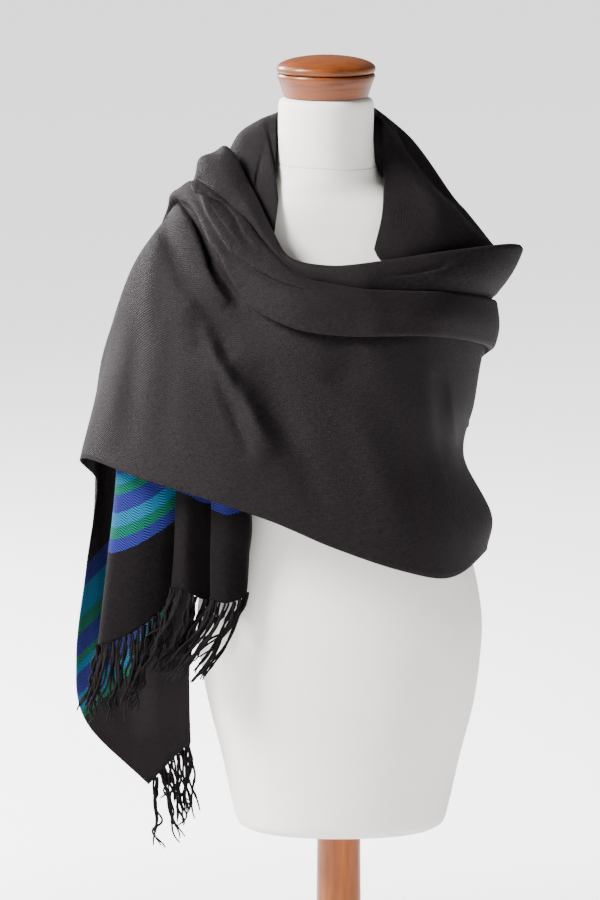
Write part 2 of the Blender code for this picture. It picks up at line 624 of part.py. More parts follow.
def make_fringe(name, grid, table, count, drop):
    """Strip below a hem with its strands, made one body by a union."""
    fall = unit(grid[:, -1] - grid[:, -2])
    edge = grid[:, -1] + fall * drop
    line = spaced(edge, STRIP_STEP)
    strip = strip_rings(line, STRIP_HEIGHT, STRIP_WALL)
    body = new_object(name, strip.reshape(-1, 3), tube_faces(len(strip), 4, 0), "shawl")
    roots, share = hem_line(line, count + 2)
    roots, share = roots[1:-1], share[1:-1]
    rows = spline(share, [row[0] for row in table], [row[1:] for row in table])
    points, faces = [], []
    steps = 5
    for number, (root, (drift_x, drift_y, length)) in enumerate(zip(roots, rows)):
        start = root + np.array([0.0, 0.0, -STRIP_HEIGHT / 2])
        uneven = 1 + 0.07 * np.sin(number * 2.4)
        rings = strand_rings(start, np.array([drift_x, drift_y, 0.0]), length * uneven, STRAND_SIDES, steps)
        faces += tube_faces(steps, STRAND_SIDES, len(points) * steps * STRAND_SIDES)
        points.append(rings.reshape(-1, 3))
    strands = new_object(name + "_strands", np.concatenate(points), faces, "shawl")
    strands.hide_render = True
    strands.display_type = "WIRE"
    join = body.modifiers.new("roots", "BOOLEAN")
    join.operation = "UNION"
    join.use_self = True
    join.object = strands
    return body


def make_shawl():
    """The four stretches of the cloth that show, and the fringe of both ends."""
    front = front_surface()
    back, mask = back_surface()
    over = over_surface()
    under = under_surface()
    seam = int(np.argmin(mask[:, -1][mask.shape[0] // 2:])) + mask.shape[0] // 2
    upper = back.shape[1] - front.shape[1]
    wrap = np.concatenate([back[:seam, upper:], front, over[1:]])
    wrap_normals = wall_offsets(wrap)
    back_normals = wall_offsets(back)
    back_normals[seam, upper:] = wrap_normals[seam]
    front_normals = wrap_normals[seam:seam + len(front)]
    lower_back = back[:, upper:]
    lower_back[seam] += unit(lower_back[seam - 1] - lower_back[seam]) * SEAM_HALF_GAP
    draw_back(front, 0, SEAM_HALF_GAP)
    draw_back(front, -1, SEAM_HALF_GAP)
    draw_back(over, 0, SEAM_HALF_GAP)
    cloth_wall("shawl_front", front, front_normals)
    cloth_wall("shawl_back", back, back_normals, mask)
    cloth_wall("shawl_end_over", over, wrap_normals[seam + len(front) - 1:])
    cloth_wall("shawl_end_under", under, wall_offsets(under))
    make_fringe("fringe_under", under, UNDER_FRINGE, STRANDS_UNDER, 1.5)
    make_fringe("fringe_over", over.transpose(1, 0, 2)[::-1], OVER_FRINGE, STRANDS_OVER, 1.8)


clear_scene()
make_form()
make_cap()
make_stand()
make_shawl()
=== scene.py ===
"""Looks of the wound shawl and the dress form that it rests on."""

import math

import bmesh
import bpy
import numpy as np
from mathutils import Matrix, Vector


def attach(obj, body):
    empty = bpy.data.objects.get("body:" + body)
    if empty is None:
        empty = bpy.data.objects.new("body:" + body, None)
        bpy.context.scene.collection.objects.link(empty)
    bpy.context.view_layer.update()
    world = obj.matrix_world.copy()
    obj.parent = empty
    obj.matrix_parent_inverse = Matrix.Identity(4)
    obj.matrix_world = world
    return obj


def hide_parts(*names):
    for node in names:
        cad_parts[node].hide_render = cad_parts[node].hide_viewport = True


bl_info = {
    "name": "Wound Shawl",
    "version": (1, 0, 0),
    "blender": (4, 5, 0),
    "location": "View3D > Sidebar > Shawl",
    "description": "Builds a fringed shawl wound round a limbless dress form",
    "category": "Add Mesh",
}

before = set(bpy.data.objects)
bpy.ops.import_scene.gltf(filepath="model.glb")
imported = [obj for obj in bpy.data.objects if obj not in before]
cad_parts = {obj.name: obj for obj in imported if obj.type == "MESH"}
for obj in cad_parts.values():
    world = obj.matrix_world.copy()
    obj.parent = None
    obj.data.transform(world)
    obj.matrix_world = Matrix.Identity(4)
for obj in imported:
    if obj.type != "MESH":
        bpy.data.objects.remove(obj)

MM = 0.001

# Stand and neck cap
BASE_RADIUS = 150.0
BASE_HEIGHT = 25.0
POLE_RADIUS_FOOT = 25.5
POLE_RADIUS_TOP = 24.0
FORM_BOTTOM = 219.0
TOUCH_GAP = 0.3
NECK_TOP = 1030.0
NECK_LEAN = -14.5
CAP_FOOT_RADIUS = 46.5
CAP_RIM_RADIUS = 54.0
CAP_GROOVE_Z = 1056.5
LID_RIM_Z = 1062.0
LID_TOP_Z = 1075.5

# Dress form: height, centre x, half width, depth to the front, depth to the back, squareness
FORM_RINGS = (
    # z, centre, half_width, front, back, power
    (219.0, 2.0, 104.0, 76.0, 82.0, 2.2),
    (225.0, 2.0, 114.0, 85.0, 90.0, 2.2),
    (240.0, 2.0, 119.0, 89.0, 95.0, 2.2),
    (300.0, 2.5, 132.0, 94.0, 104.0, 2.2),
    (360.0, 2.5, 147.0, 98.0, 113.0, 2.2),
    (420.0, 1.0, 156.0, 100.0, 119.0, 2.2),
    (460.0, 0.5, 157.0, 99.0, 117.0, 2.2),
    (517.0, 0.0, 147.0, 93.0, 102.0, 2.2),
    (584.0, 0.0, 126.0, 84.0, 80.0, 2.2),
    (634.0, 0.0, 117.0, 82.0, 72.0, 2.2),
    (695.0, -2.0, 126.0, 94.0, 78.0, 2.2),
    (762.0, -3.0, 139.0, 116.0, 92.0, 2.0),
    (800.0, -4.0, 146.0, 107.0, 94.0, 2.1),
    (845.0, -5.0, 154.0, 82.0, 88.0, 2.2),
    (878.0, -7.0, 154.0, 66.0, 76.0, 2.2),
    (898.0, -8.0, 136.0, 60.0, 68.0, 2.2),
    (915.0, -10.0, 108.0, 56.0, 61.0, 2.1),
    (930.0, -12.0, 78.0, 53.0, 56.0, 2.0),
    (945.0, -14.0, 58.0, 53.0, 54.0, 2.0),
    (975.0, -15.0, 52.5, 51.0, 52.0, 2.0),
    (1020.0, -14.5, 52.0, 51.0, 51.0, 2.0),
    (1027.0, -14.5, 50.5, 49.5, 49.5, 2.0),
    (1030.0, -14.5, 46.0, 45.0, 45.0, 2.0),
)

# Crossing front: stations from the right back seam, over the chest, to the left edge
FRONT_FOLD = (0.0, 0.7, 1.0, 1.0, 1.0, 1.0, 1.0, 1.0, 0.45)
TOP_FOLD = (
    # x, y, z
    (178, 45, 843), (200, 0, 868), (126, -68, 868), (35, -104, 860), (-10, -108, 857),
    (-53, -102, 865), (-73, -86, 890), (-97, -40, 934), (-124, 5, 976),
)
BAND_FOLD = (
    (160, 48, 800), (170, 0, 808), (116, -88, 825), (37, -122, 832), (-2, -126, 838),
    (-42, -122, 848), (-77, -102, 874), (-110, -62, 914), (-157, -5, 941),
)
ROLL_LIP = (
    (150, 48, 733), (167, -4, 754), (109, -105, 783), (50, -136, 789), (3, -142, 790),
    (-53, -138, 799), (-100, -115, 823), (-132, -82, 879), (-177, -10, 922),
)
PANEL_UPPER = (
    (145, 48, 688), (144, 0, 690), (110, -85, 709), (66, -118, 714), (6, -128, 716),
    (-58, -126, 726), (-113, -114, 757), (-165, -86, 815), (-221, -12, 851),
)
PANEL_MIDDLE = (
    (134, 48, 626), (133, 0, 636), (110, -78, 647), (66, -112, 642), (6, -125, 644),
    (-64, -128, 655), (-126, -120, 682), (-189, -88, 735), (-248, -12, 751),
)
PANEL_LOWER = (
    (156, 54, 563), (167, 0, 567), (126, -80, 570), (66, -118, 582), (1, -128, 597),
    (-69, -130, 618), (-136, -122, 644), (-203, -88, 674), (-269, -12, 678),
)
PANEL_HEM = (
    (158, 58, 523), (160, -12, 528), (119, -82, 512), (61, -118, 528), (-8, -129, 554),
    (-74, -131, 583), (-145, -122, 606), (-216, -88, 623), (-282, -12, 633),
)

# Tucked part of each rib: from one guide towards the next, the drop along the rib when smooth and
# when folded, and the depth outward when folded
RIB_KNOTS = (
    # guide, share, smooth_drop, folded_drop, folded_out
    (0, 0.0, 0.0, 10.0, -7.0),
    (0, 0.0, 3.0, 2.0, -6.0),
    (0, 0.0, 6.0, -2.5, -2.0),
    (0, 0.0, 9.0, 1.5, 1.5),
    (0, 0.5, 0.0, 0.0, 4.0),
    (1, 0.0, -7.5, -5.0, -1.0),
    (1, 0.0, -4.5, 2.0, -5.0),
    (1, 0.0, -1.5, 8.5, -8.0),
    (1, 0.0, 1.5, 10.5, -4.5),
    (1, 0.0, 4.5, -1.5, 0.5),
    (1, 0.0, 7.5, 1.0, 4.0),
    (1, 0.5, 0.0, 0.0, 8.0),
    (2, 0.0, -7.5, -4.0, 2.0),
    (2, 0.0, -4.5, 1.0, -1.5),
    (2, 0.0, -1.5, 0.0, -6.0),
    (2, 0.0, 1.5, -8.0, -9.0),
    (2, 0.0, 4.5, -9.0, -13.0),
    (2, 0.0, 7.5, 8.0, -14.5),
)
ROLL_KNOT = 12
RIM_SPAN = 60.0

# Collar and back: one row for each radial fold from the left front, behind the neck, to the front
COLLAR_FOLDS = (
    # neck edge, upper, middle, outer edge
    ((-72, -76, 884), (-75, -76, 881), (-79, -75, 876), (-84, -72, 869)),
    ((-70, -46, 924), (-77, -47, 921), (-84, -46, 917), (-90, -44, 912)),
    ((-69, -14, 976), (-84, -14, 970), (-96, -13, 958), (-105, -12, 941)),
    ((-68, 14, 1008), (-88, 16, 1002), (-112, 22, 984), (-127, 30, 941)),
    ((-57, 58, 1008), (-76, 76, 985), (-102, 86, 944), (-141, 88, 880)),
    ((-14, 76, 1010), (-15, 90, 984), (-15, 104, 944), (-15, 112, 880)),
    ((26, 56, 1012), (48, 70, 986), (74, 84, 936), (108, 92, 876)),
    ((35, 36, 1014), (70, 42, 976), (108, 46, 915), (178, 45, 843)),
    ((39, 22, 1015), (80, 24, 980), (123, 22, 920), (166, 20, 860)),
    ((42, 12, 1007), (76, 12, 968), (118, 8, 914), (174, 3, 856)),
    ((46, 2, 1000), (68, 0, 968), (110, -14, 922), (165, -19, 850)),
    ((48, -22, 955), (78, -32, 932), (112, -50, 892), (138, -41, 848)),
    ((46, -60, 911), (58, -68, 896), (80, -76, 871), (104, -69, 843)),
    ((37, -83, 874), (41, -86, 866), (48, -87, 857), (56, -86, 843)),
)
BACK_FIRST_FOLD = 4
BACK_SEAM_FOLD = 7
BACK_SIDE = ((-150, 98, 760), (-142, 92, 626), (-139, 104, 545), (-140, 112, 486))
BACK_LEFT = ((-90, 110, 750), (-80, 112, 622), (-82, 126, 540), (-84, 138, 462))
BACK_RIGHT = ((98, 100, 755), (84, 96, 623), (96, 112, 545), (102, 122, 470))
BACK_FALL = (BACK_SIDE, BACK_LEFT, BACK_RIGHT)
COLLAR_KNOTS = (-150.0, -110.0, -60.0, 0.0)
COLLAR_FALL = (90.0, 200.0, 280.0, 340.0)
FRONT_LEAD = (-45.0, 50.0, 0.0)
BACK_LEAD = (6.0, -48.0, 0.0)

# End thrown over the left shoulder: one row for each fold, from the front's left edge to its hem
OVER_SHARE = (0.0, 0.31, 0.52, 0.78, 1.0)
OVER_KNOTS = (RIM_SPAN, 260.0, 410.0, 500.0, 570.0)
OVER_FOLDS = (
    ((-150, 106, 905), (-158, 126, 655), (-186, 100, 454), (-208, 78, 357), (-219, 62, 295)),
    ((-200, 62, 841), (-182, 84, 628), (-168, 60, 462), (-167, 44, 375), (-166, 31, 307)),
    ((-247, 42, 745), (-225, 50, 565), (-209, 40, 443), (-198, 30, 366), (-182, 19, 292)),
    ((-268, 40, 640), (-266, 34, 489), (-259, 24, 390), (-239, 18, 326), (-197, 9, 277)),
    ((-268, 26, 600), (-280, 22, 500), (-291, 12, 400), (-279, 6, 332), (-211, 0, 264)),
)

# End that hangs under the front: one row for each pleat edge
UNDER_PLEATS = (
    # top, shoulder, upper,
    # middle, lower, hem
    ((-168, 22, 915), (-188, 16, 874), (-230, 8, 760),
     (-230, -8, 600), (-238, -10, 520), (-250, -12, 430)),
    ((-165, 17, 917), (-187, 6, 874), (-234, -6, 760),
     (-245, -20, 600), (-254, -22, 520), (-265, -24, 428)),
    ((-162, 13, 918), (-183, -2, 874), (-224, -14, 760),
     (-240, -36, 598), (-248, -38, 518), (-256, -38, 430)),
    ((-159, 9, 919), (-178, -10, 874), (-210, -24, 760),
     (-216, -50, 598), (-222, -54, 524), (-226, -52, 446)),
    ((-156, 5, 920), (-172, -16, 874), (-196, -34, 760),
     (-192, -52, 596), (-198, -56, 527), (-200, -54, 466)),
    ((-153, 1, 920), (-167, -20, 873), (-180, -36, 760),
     (-172, -48, 596), (-176, -50, 530), (-180, -52, 487)),
    ((-150, -6, 920), (-162, -26, 873), (-172, -44, 760),
     (-178, -62, 600), (-180, -66, 540), (-183, -66, 499)),
    ((-147, -13, 919), (-158, -34, 874), (-162, -54, 760),
     (-166, -80, 600), (-168, -84, 540), (-168, -82, 498)),
    ((-144, -18, 918), (-154, -40, 873), (-154, -56, 760),
     (-148, -76, 598), (-148, -78, 540), (-150, -78, 488)),
    ((-141, -22, 918), (-150, -44, 873), (-146, -58, 760),
     (-132, -74, 598), (-132, -76, 540), (-134, -74, 490)),
    ((-137, -26, 918), (-146, -49, 873), (-142, -66, 760),
     (-139, -90, 600), (-140, -92, 540), (-140, -90, 492)),
    ((-134, -29, 917), (-142, -53, 872), (-138, -70, 760),
     (-122, -104, 598), (-122, -104, 538), (-124, -103, 488)),
    ((-131, -31, 917), (-138, -56, 872), (-135, -63, 765),
     (-103, -100, 598), (-103, -98, 536), (-104, -97, 494)),
    ((-128, -29, 916), (-131.2, -51.0, 872), (-132.0, -56.0, 768),
     (-98, -84, 600), (-99, -82, 534), (-101, -80, 500)),
)

# Fringe: share of the hem, sideways and forward drift, and length of the strands there
UNDER_FRINGE = (
    # share, drift_x, drift_y, length
    (0.0, -14.0, -4.0, 74.0),
    (0.3, -16.0, -8.0, 84.0),
    (0.55, -26.0, -10.0, 70.0),
    (0.75, -44.0, -8.0, 82.0),
    (1.0, -50.0, -8.0, 84.0),
)
OVER_FRINGE = (
    # share, drift_x, drift_y, length
    (0.0, 6.0, -4.0, 70.0),
    (0.35, 8.0, -2.0, 84.0),
    (0.65, 12.0, 2.0, 70.0),
    (1.0, 14.0, 6.0, 66.0),
)
LONGEST_TAIL = 108.0
TAILS = 3

# Random spread of the fringe in x, y and z: of a bunch, of one tail, of the slow bend and of the wave
BUNCH_SWAY = (6.5, 4.0, 0.0)
TAIL_SWAY = (4.0, 3.0, 0.0)
SLOW_BEND = (4.6, 2.8, 0.0)
FINE_WAVE = (2.7, 2.0, 1.4)
ROOT_SPREAD = (1.4, 0.6, 0.0)

# Largest creases of the front: start, end (x, z), depth inward and half width
FRONT_CREASES = (
    # x0, z0, x1, z1, depth, width
    (-160, 800, -118, 766, 9.0, 16.0),
    (-146, 762, -112, 716, -9.0, 15.0),
    (-112, 716, -82, 655, -7.0, 15.0),
    (-86, 745, -56, 668, 7.0, 18.0),
    (18, 770, -6, 735, 6.0, 18.0),
    (112, 735, 118, 650, 7.0, 12.0),
)

# Soft folds of the back and of the over-shoulder end: share across, share down at the start and
# the end, sideways run of the fold, height outward and half width as a share
BACK_RIPPLES = (
    # across0, down0, across1, down1, height, width
    (6.6, 150.0, 4.6, 520.0, 9.0, 0.42),
    (6.9, 40.0, 5.2, 300.0, 8.0, 0.38),
    (5.7, -60.0, 4.4, 330.0, -7.0, 0.34),
    (6.2, 260.0, 6.5, 620.0, 10.0, 0.34),
    (5.3, 330.0, 5.5, 620.0, -8.0, 0.34),
)
OVER_RIPPLES = (
    # rib share at the top and at the hem, height and half width
    (0.20, 0.24, 10.0, 0.06),
    (0.33, 0.40, -6.0, 0.07),
    (0.46, 0.58, 9.0, 0.07),
    (0.66, 0.74, -8.0, 0.07),
)

# Finer creases of the front, in the same terms as the largest ones
FINE_CREASES = (
    # x0, z0, x1, z1, depth, width
    (-166, 912, -143, 861, 8.0, 6.0),
    (-143, 862, -108, 818, 8.0, 6.5),
    (-197, 906, -170, 835, 6.0, 9.0),
    (-169, 838, -120, 782, 6.0, 9.0),
    (-137, 926, -117, 919, 4.0, 3.0),
    (-205, 890, -209, 790, -4.0, 11.0),
    (-133, 768, -119, 755, 4.0, 6.0),
    (-147, 786, -114, 731, -9.0, 7.0),
    (-107, 728, -76, 670, -8.0, 7.5),
    (-132, 740, -98, 664, 7.0, 8.0),
    (-15, 780, 25, 792, 3.0, 9.0),
    (117, 738, 127, 652, -4.0, 3.5),
    (103, 733, 113, 654, 5.0, 7.0),
    (-236, 800, -256, 660, -3.0, 12.0),
    (-218, 790, -232, 660, 3.0, 10.0),
    (-180, 790, -190, 660, 3.0, 11.0),
    (-60, 690, -20, 600, 3.0, 16.0),
    (20, 700, 55, 600, -3.5, 18.0),
    (62, 690, 84, 570, 3.5, 12.0),
    (-30, 812, 60, 806, 3.0, 9.0),
    (40, 838, 104, 842, 3.5, 9.0),
    (-60, 832, 10, 820, -2.5, 8.0),
)

# Overlapped folds: the bend points (x, z) of each edge, its height, the soft width on the left of
# the way along it and the sharp width on the right
FRONT_EDGES = (
    # path, height, soft, sharp
    (((-152, 940), (-140, 912), (-115, 879), (-89, 862), (-59, 848), (-23, 836)), 6.0, 13.0, 3.2),
    (((-163, 947), (-155, 935), (-139, 934), (-118, 921), (-108, 910), (-100, 894), (-87, 879)),
     6.0, 14.0, 3.0),
    (((-182, 927), (-171, 921), (-157, 905), (-140, 886), (-132, 867), (-121, 852), (-107, 835)),
     5.0, 11.0, 3.2),
    (((-121, 815), (-138, 832), (-149, 847), (-157, 872), (-167, 896), (-186, 917)), 7.0, 13.0, 4.5),
    (((-144, 934), (-132, 915), (-116, 896), (-106, 885)), 2.5, 6.0, 2.4),
    (((136, 862), (112, 847), (78, 842), (40, 842)), 3.0, 9.0, 3.0),
)
COLLAR_EDGES = (
    # path, height, soft, sharp
    (((171, 896), (136, 903), (115, 914), (90, 938), (67, 971), (54, 999), (42, 1016)), 5.0, 15.0, 2.2),
    (((-66, 880), (-71, 925), (-78, 965), (-84, 1002)), 4.0, 9.0, 2.4),
    (((-104, 905), (-98, 935), (-92, 960), (-84, 985)), 3.5, 8.0, 2.4),
)

# Folds of the hidden sides, each as seen from its own side: x runs to that viewer's right
SIDE_START = 25
SIDE_REACH = 35
BACK_EDGES = (
    # path, height, soft, sharp
    (((-142, 868), (-100, 822), (-44, 788), (16, 776), (78, 792)), 7.0, 17.0, 4.5),
    (((-146, 806), (-108, 752), (-50, 712), (4, 700), (60, 714)), 8.0, 19.0, 5.0),
    (((-140, 728), (-104, 672), (-58, 640), (-14, 634)), 6.0, 15.0, 5.0),
    (((128, 884), (112, 800), (116, 700), (106, 604)), 7.0, 13.0, 5.0),
    (((84, 716), (74, 630), (86, 520)), 6.0, 12.0, 4.5),
    (((30, 640), (22, 570), (34, 486)), 5.0, 14.0, 5.0),
    (((-62, 600), (-46, 545), (-56, 484)), 6.0, 14.0, 4.5),
    (((-116, 640), (-106, 580), (-118, 505)), 6.0, 13.0, 4.5),
)
RIGHT_EDGES = (
    # path, height, soft, sharp
    (((-34, 706), (4, 668), (52, 664), (98, 694)), 4.0, 12.0, 4.5),
    (((-26, 622), (22, 572), (84, 584)), 4.0, 12.0, 4.5),
    (((64, 908), (74, 812), (62, 724)), 5.0, 12.0, 4.5),
)
OVER_EDGES = (
    # path, height, soft, sharp
    (((160, 884), (178, 764), (194, 640), (198, 520)), 7.0, 13.0, 4.5),
    (((208, 806), (230, 684), (240, 556)), 6.0, 12.0, 4.5),
    (((180, 576), (202, 456), (212, 376)), 6.0, 11.0, 4.0),
)
LEFT_EDGES = (
    # path, height, soft, sharp
    (((-18, 884), (-32, 776), (-12, 640), (-26, 556)), 4.0, 14.0, 5.0),
    (((44, 850), (30, 752), (46, 636)), 4.0, 12.0, 4.5),
    (((-60, 824), (-86, 700), (-92, 604)), 3.5, 12.0, 4.5),
)


def node(tree, kind, inputs=(), **settings):
    """A shader node with its settings, and its inputs as numbers, colours or sockets."""
    made = tree.nodes.new(kind)
    for name, value in settings.items():
        setattr(made, name, value)
    for name, value in dict(inputs).items():
        socket = made.inputs[name]
        if isinstance(value, bpy.types.NodeSocket):
            tree.links.new(value, socket)
        else:
            socket.default_value = value
    return made


def math_node(tree, operation, first, second=0.5, third=0.5):
    """The output of one Math node."""
    return node(tree, "ShaderNodeMath", {0: first, 1: second, 2: third}, operation=operation).outputs[0]


def mixed(tree, factor, first, second, kind="MIX"):
    """The output of one colour Mix node."""
    made = node(tree, "ShaderNodeMix", data_type="RGBA", blend_type=kind)
    for index, value in ((0, factor), (6, first), (7, second)):
        if isinstance(value, bpy.types.NodeSocket):
            tree.links.new(value, made.inputs[index])
        else:
            made.inputs[index].default_value = value
    return made.outputs[2]


def noise(tree, vector, scale, detail=3.0, roughness=0.5, distortion=0.0):
    """The value of a Noise texture."""
    values = {"Vector": vector, "Scale": scale, "Detail": detail}
    values.update({"Roughness": roughness, "Distortion": distortion})
    return node(tree, "ShaderNodeTexNoise", values).outputs[0]


def mapped(tree, vector, scale, turn=(0.0, 0.0, 0.0)):
    """A vector scaled, and turned, by a Mapping node."""
    return node(tree, "ShaderNodeMapping", {"Vector": vector, "Scale": scale, "Rotation": turn}).outputs[0]


def ramp(tree, factor, stops, interpolation="LINEAR"):
    """The colour of a ramp with the given positions and colours."""
    made = node(tree, "ShaderNodeValToRGB", {0: factor})
    band = made.color_ramp
    band.interpolation = interpolation
    while len(band.elements) < len(stops):
        band.elements.new(1.0)
    for element, (place, colour) in zip(band.elements, stops):
        element.position = place
        element.color = colour
    return made.outputs[0]


def blank_material(name):
    """A new node material with its tree and its Principled shader."""
    material = bpy.data.materials.new(name)
    material.use_nodes = True
    return material, material.node_tree, material.node_tree.nodes["Principled BSDF"]


def bumped(tree, shader, height, strength, distance, normal=None):
    """Bump on a shader from a height, in metres of depth."""
    values = {"Height": height, "Strength": strength, "Distance": distance}
    if normal is not None:
        values["Normal"] = normal
    made = node(tree, "ShaderNodeBump", values)
    tree.links.new(made.outputs[0], shader.inputs["Normal"])
    return made.outputs[0]


# Bands of the two striped ends: distance from the hem in millimetres, and the yarn. Each band has
# zigzag lines: TOOTH is half a zigzag's width in metres and LINE_PITCH the lines' spacing
OVER_STRIPES = (
    # start, yarn
    (0.0, "black"),
    (103.0, "green"),
    (111.0, "cyan"),
    (125.0, "indigo"),
    (144.0, "cyan"),
    (151.0, "green"),
    (158.0, "indigo"),
    (175.0, "green"),
    (188.0, "cyan"),
    (212.0, "indigo"),
    (229.0, "black"),
)
UNDER_STRIPES = (
    (0.0, "black"),
    (98.0, "indigo"),
    (113.0, "green"),
    (126.0, "cyan"),
    (143.0, "indigo"),
    (163.0, "green"),
    (174.0, "cyan"),
    (186.0, "indigo"),
    (204.0, "green"),
    (222.0, "indigo"),
    (236.0, "black"),
)
STRIPE_REACH = 260.0
TOOTH = 0.0068
LINE_PITCH = 2.9
LINE_DARK = (0.12, 0.10, 0.26, 1.0)
NOTHING = (0, 0, 0, 1)
FULL = (1, 1, 1, 1)
WARM_SHARES = (1.6, 1.15, 1.25)

# Marks on the jersey, and the height of the seam round the neck in metres
SCUFF_COLOUR = (0.32, 0.27, 0.22, 1.0)
SEAM_COLOUR = (0.36, 0.33, 0.3, 1.0)
SEAM_LEVEL = 0.956

# Stage: lamps round the object, all turned to one height, the glow of the floor and the room's light
LAMPS = (
    # name, place, size, share of the main light's power
    ("key", (-2.95, -1.0, 3.2), (1.3, 1.6), 1.0),
    ("fill", (2.6, -2.6, 1.4), (2.0, 2.0), 0.02),
    ("back", (-2.4, 2.3, 2.0), (1.0, 1.4), 0.45),
)
LAMP_AIM = (0.0, 0.0, 0.7)
ROOM_LIGHT = 0.26
GLOW_START = 0.25
GLOW_FULL = 0.9
GLOW_POWER = 1.5

# Camera: the point looked at, how far off it stands, the degrees it looks down, and its lens
VIEW_TARGET = (-0.043, 0.0, 0.640)
VIEW_DISTANCE = 7.0
VIEW_RISE = 9.3
SENSOR = 36.0
VIEW_HEIGHT = 0.990
VIEW_LENS = SENSOR * VIEW_DISTANCE / VIEW_HEIGHT


def cloth_material(name, colours, stripes, depth, shine):
    """Charcoal twill, with zigzag stripes near the end where v, the way from the hem, is small."""
    material, tree, shader = blank_material(name)
    place = node(tree, "ShaderNodeUVMap", uv_map="cloth").outputs[0]
    parts = node(tree, "ShaderNodeSeparateXYZ", {0: place})
    across, along = parts.outputs[0], parts.outputs[1]
    slub = noise(tree, mapped(tree, place, (820.0, 170.0, 1.0)), 1.0, 2.0, 0.6)
    warp = noise(tree, mapped(tree, place, (150.0, 900.0, 1.0)), 1.0, 2.0, 0.6)
    cloud = noise(tree, mapped(tree, place, (11.0, 11.0, 1.0)), 1.0, 3.0, 0.55)
    twill_values = {"Vector": place, "Scale": 215.0, "Distortion": 1.6, "Detail": 2.0, "Detail Scale": 3.0}
    twill = node(tree, "ShaderNodeTexWave", twill_values, bands_direction="DIAGONAL").outputs["Fac"]
    thread = math_node(tree, "MULTIPLY_ADD", slub, 0.55, math_node(tree, "MULTIPLY", warp, 0.45))
    # depth scales the ground colours: below 1 the ground is painted darker as painted shade, a shaded copy
    # of the same cloth
    dark = (*[0.5 * depth * value for value in colours.black], 1.0)
    light = (*[2.8 * depth * value for value in colours.black], 1.0)
    warm = (*[depth * value * share for value, share in zip(colours.black, WARM_SHARES)], 1.0)
    body = mixed(tree, ramp(tree, thread, ((0.38, NOTHING), (0.64, FULL))), dark, light)
    body = mixed(tree, math_node(tree, "MULTIPLY", cloud, 0.5), body, warm)
    yarns = {
        "black": dark, "green": (*colours.green, 1),
        "cyan": (*colours.cyan, 1), "indigo": (*colours.indigo, 1),
    }
    zig = math_node(tree, "PINGPONG", math_node(tree, "DIVIDE", across, TOOTH), 1.0)
    edge = math_node(tree, "MULTIPLY_ADD", zig, 0.0007, along)
    way = math_node(tree, "DIVIDE", edge, STRIPE_REACH * MM)
    bands = ramp(tree, way, [(start / STRIPE_REACH, yarns[yarn]) for start, yarn in stripes], "CONSTANT")
    slant = math_node(tree, "MULTIPLY_ADD", zig, TOOTH, along)
    lines = math_node(tree, "FRACT", math_node(tree, "DIVIDE", slant, LINE_PITCH * MM))
    shade_stops = ((0.0, LINE_DARK), (0.34, LINE_DARK), (0.5, FULL), (0.84, FULL), (1.0, LINE_DARK))
    bands = mixed(tree, 1.0, bands, ramp(tree, lines, shade_stops), "MULTIPLY")
    bands = mixed(tree, math_node(tree, "MULTIPLY", thread, 0.25), bands, dark)
    inside = math_node(tree, "MULTIPLY", math_node(tree, "GREATER_THAN", way, stripes[1][0] / STRIPE_REACH),
                       math_node(tree, "LESS_THAN", way, stripes[-1][0] / STRIPE_REACH))
    tree.links.new(mixed(tree, inside, body, bands), shader.inputs["Base Color"])
    height = math_node(tree, "MULTIPLY_ADD", twill, 0.3, thread)
    bumped(tree, shader, height, 0.8, 0.0010)
    shader.inputs["Roughness"].default_value = 0.72
    shader.inputs["Specular IOR Level"].default_value = shine
    shader.inputs["Sheen Weight"].default_value = 0.02
    shader.inputs["Sheen Roughness"].default_value = 0.4
    shader.inputs["Sheen Tint"].default_value = (0.78, 0.72, 0.78, 1.0)
    return material


def yarn_material(colours):
    """Black yarn of the fringe, with its twist as bump along the strand."""
    material, tree, shader = blank_material("fringe_yarn")
    place = node(tree, "ShaderNodeUVMap", uv_map="cloth").outputs[0]
    twist_values = {"Vector": place, "Scale": 1.0, "Distortion": 1.0}
    twist = node(tree, "ShaderNodeTexWave", twist_values, bands_direction="DIAGONAL").outputs["Fac"]
    fuzz = noise(tree, node(tree, "ShaderNodeTexCoord").outputs["Object"], 900.0, 2.0)
    dark = (*[0.5 * value for value in colours.black], 1.0)
    light = (*[1.6 * value for value in colours.black], 1.0)
    tone = math_node(tree, "MULTIPLY_ADD", twist, 0.5, math_node(tree, "MULTIPLY", fuzz, 0.5))
    tree.links.new(mixed(tree, tone, dark, light), shader.inputs["Base Color"])
    bumped(tree, shader, tone, 0.8, 0.0008)
    shader.inputs["Roughness"].default_value = 0.9
    shader.inputs["Specular IOR Level"].default_value = 0.08
    return material


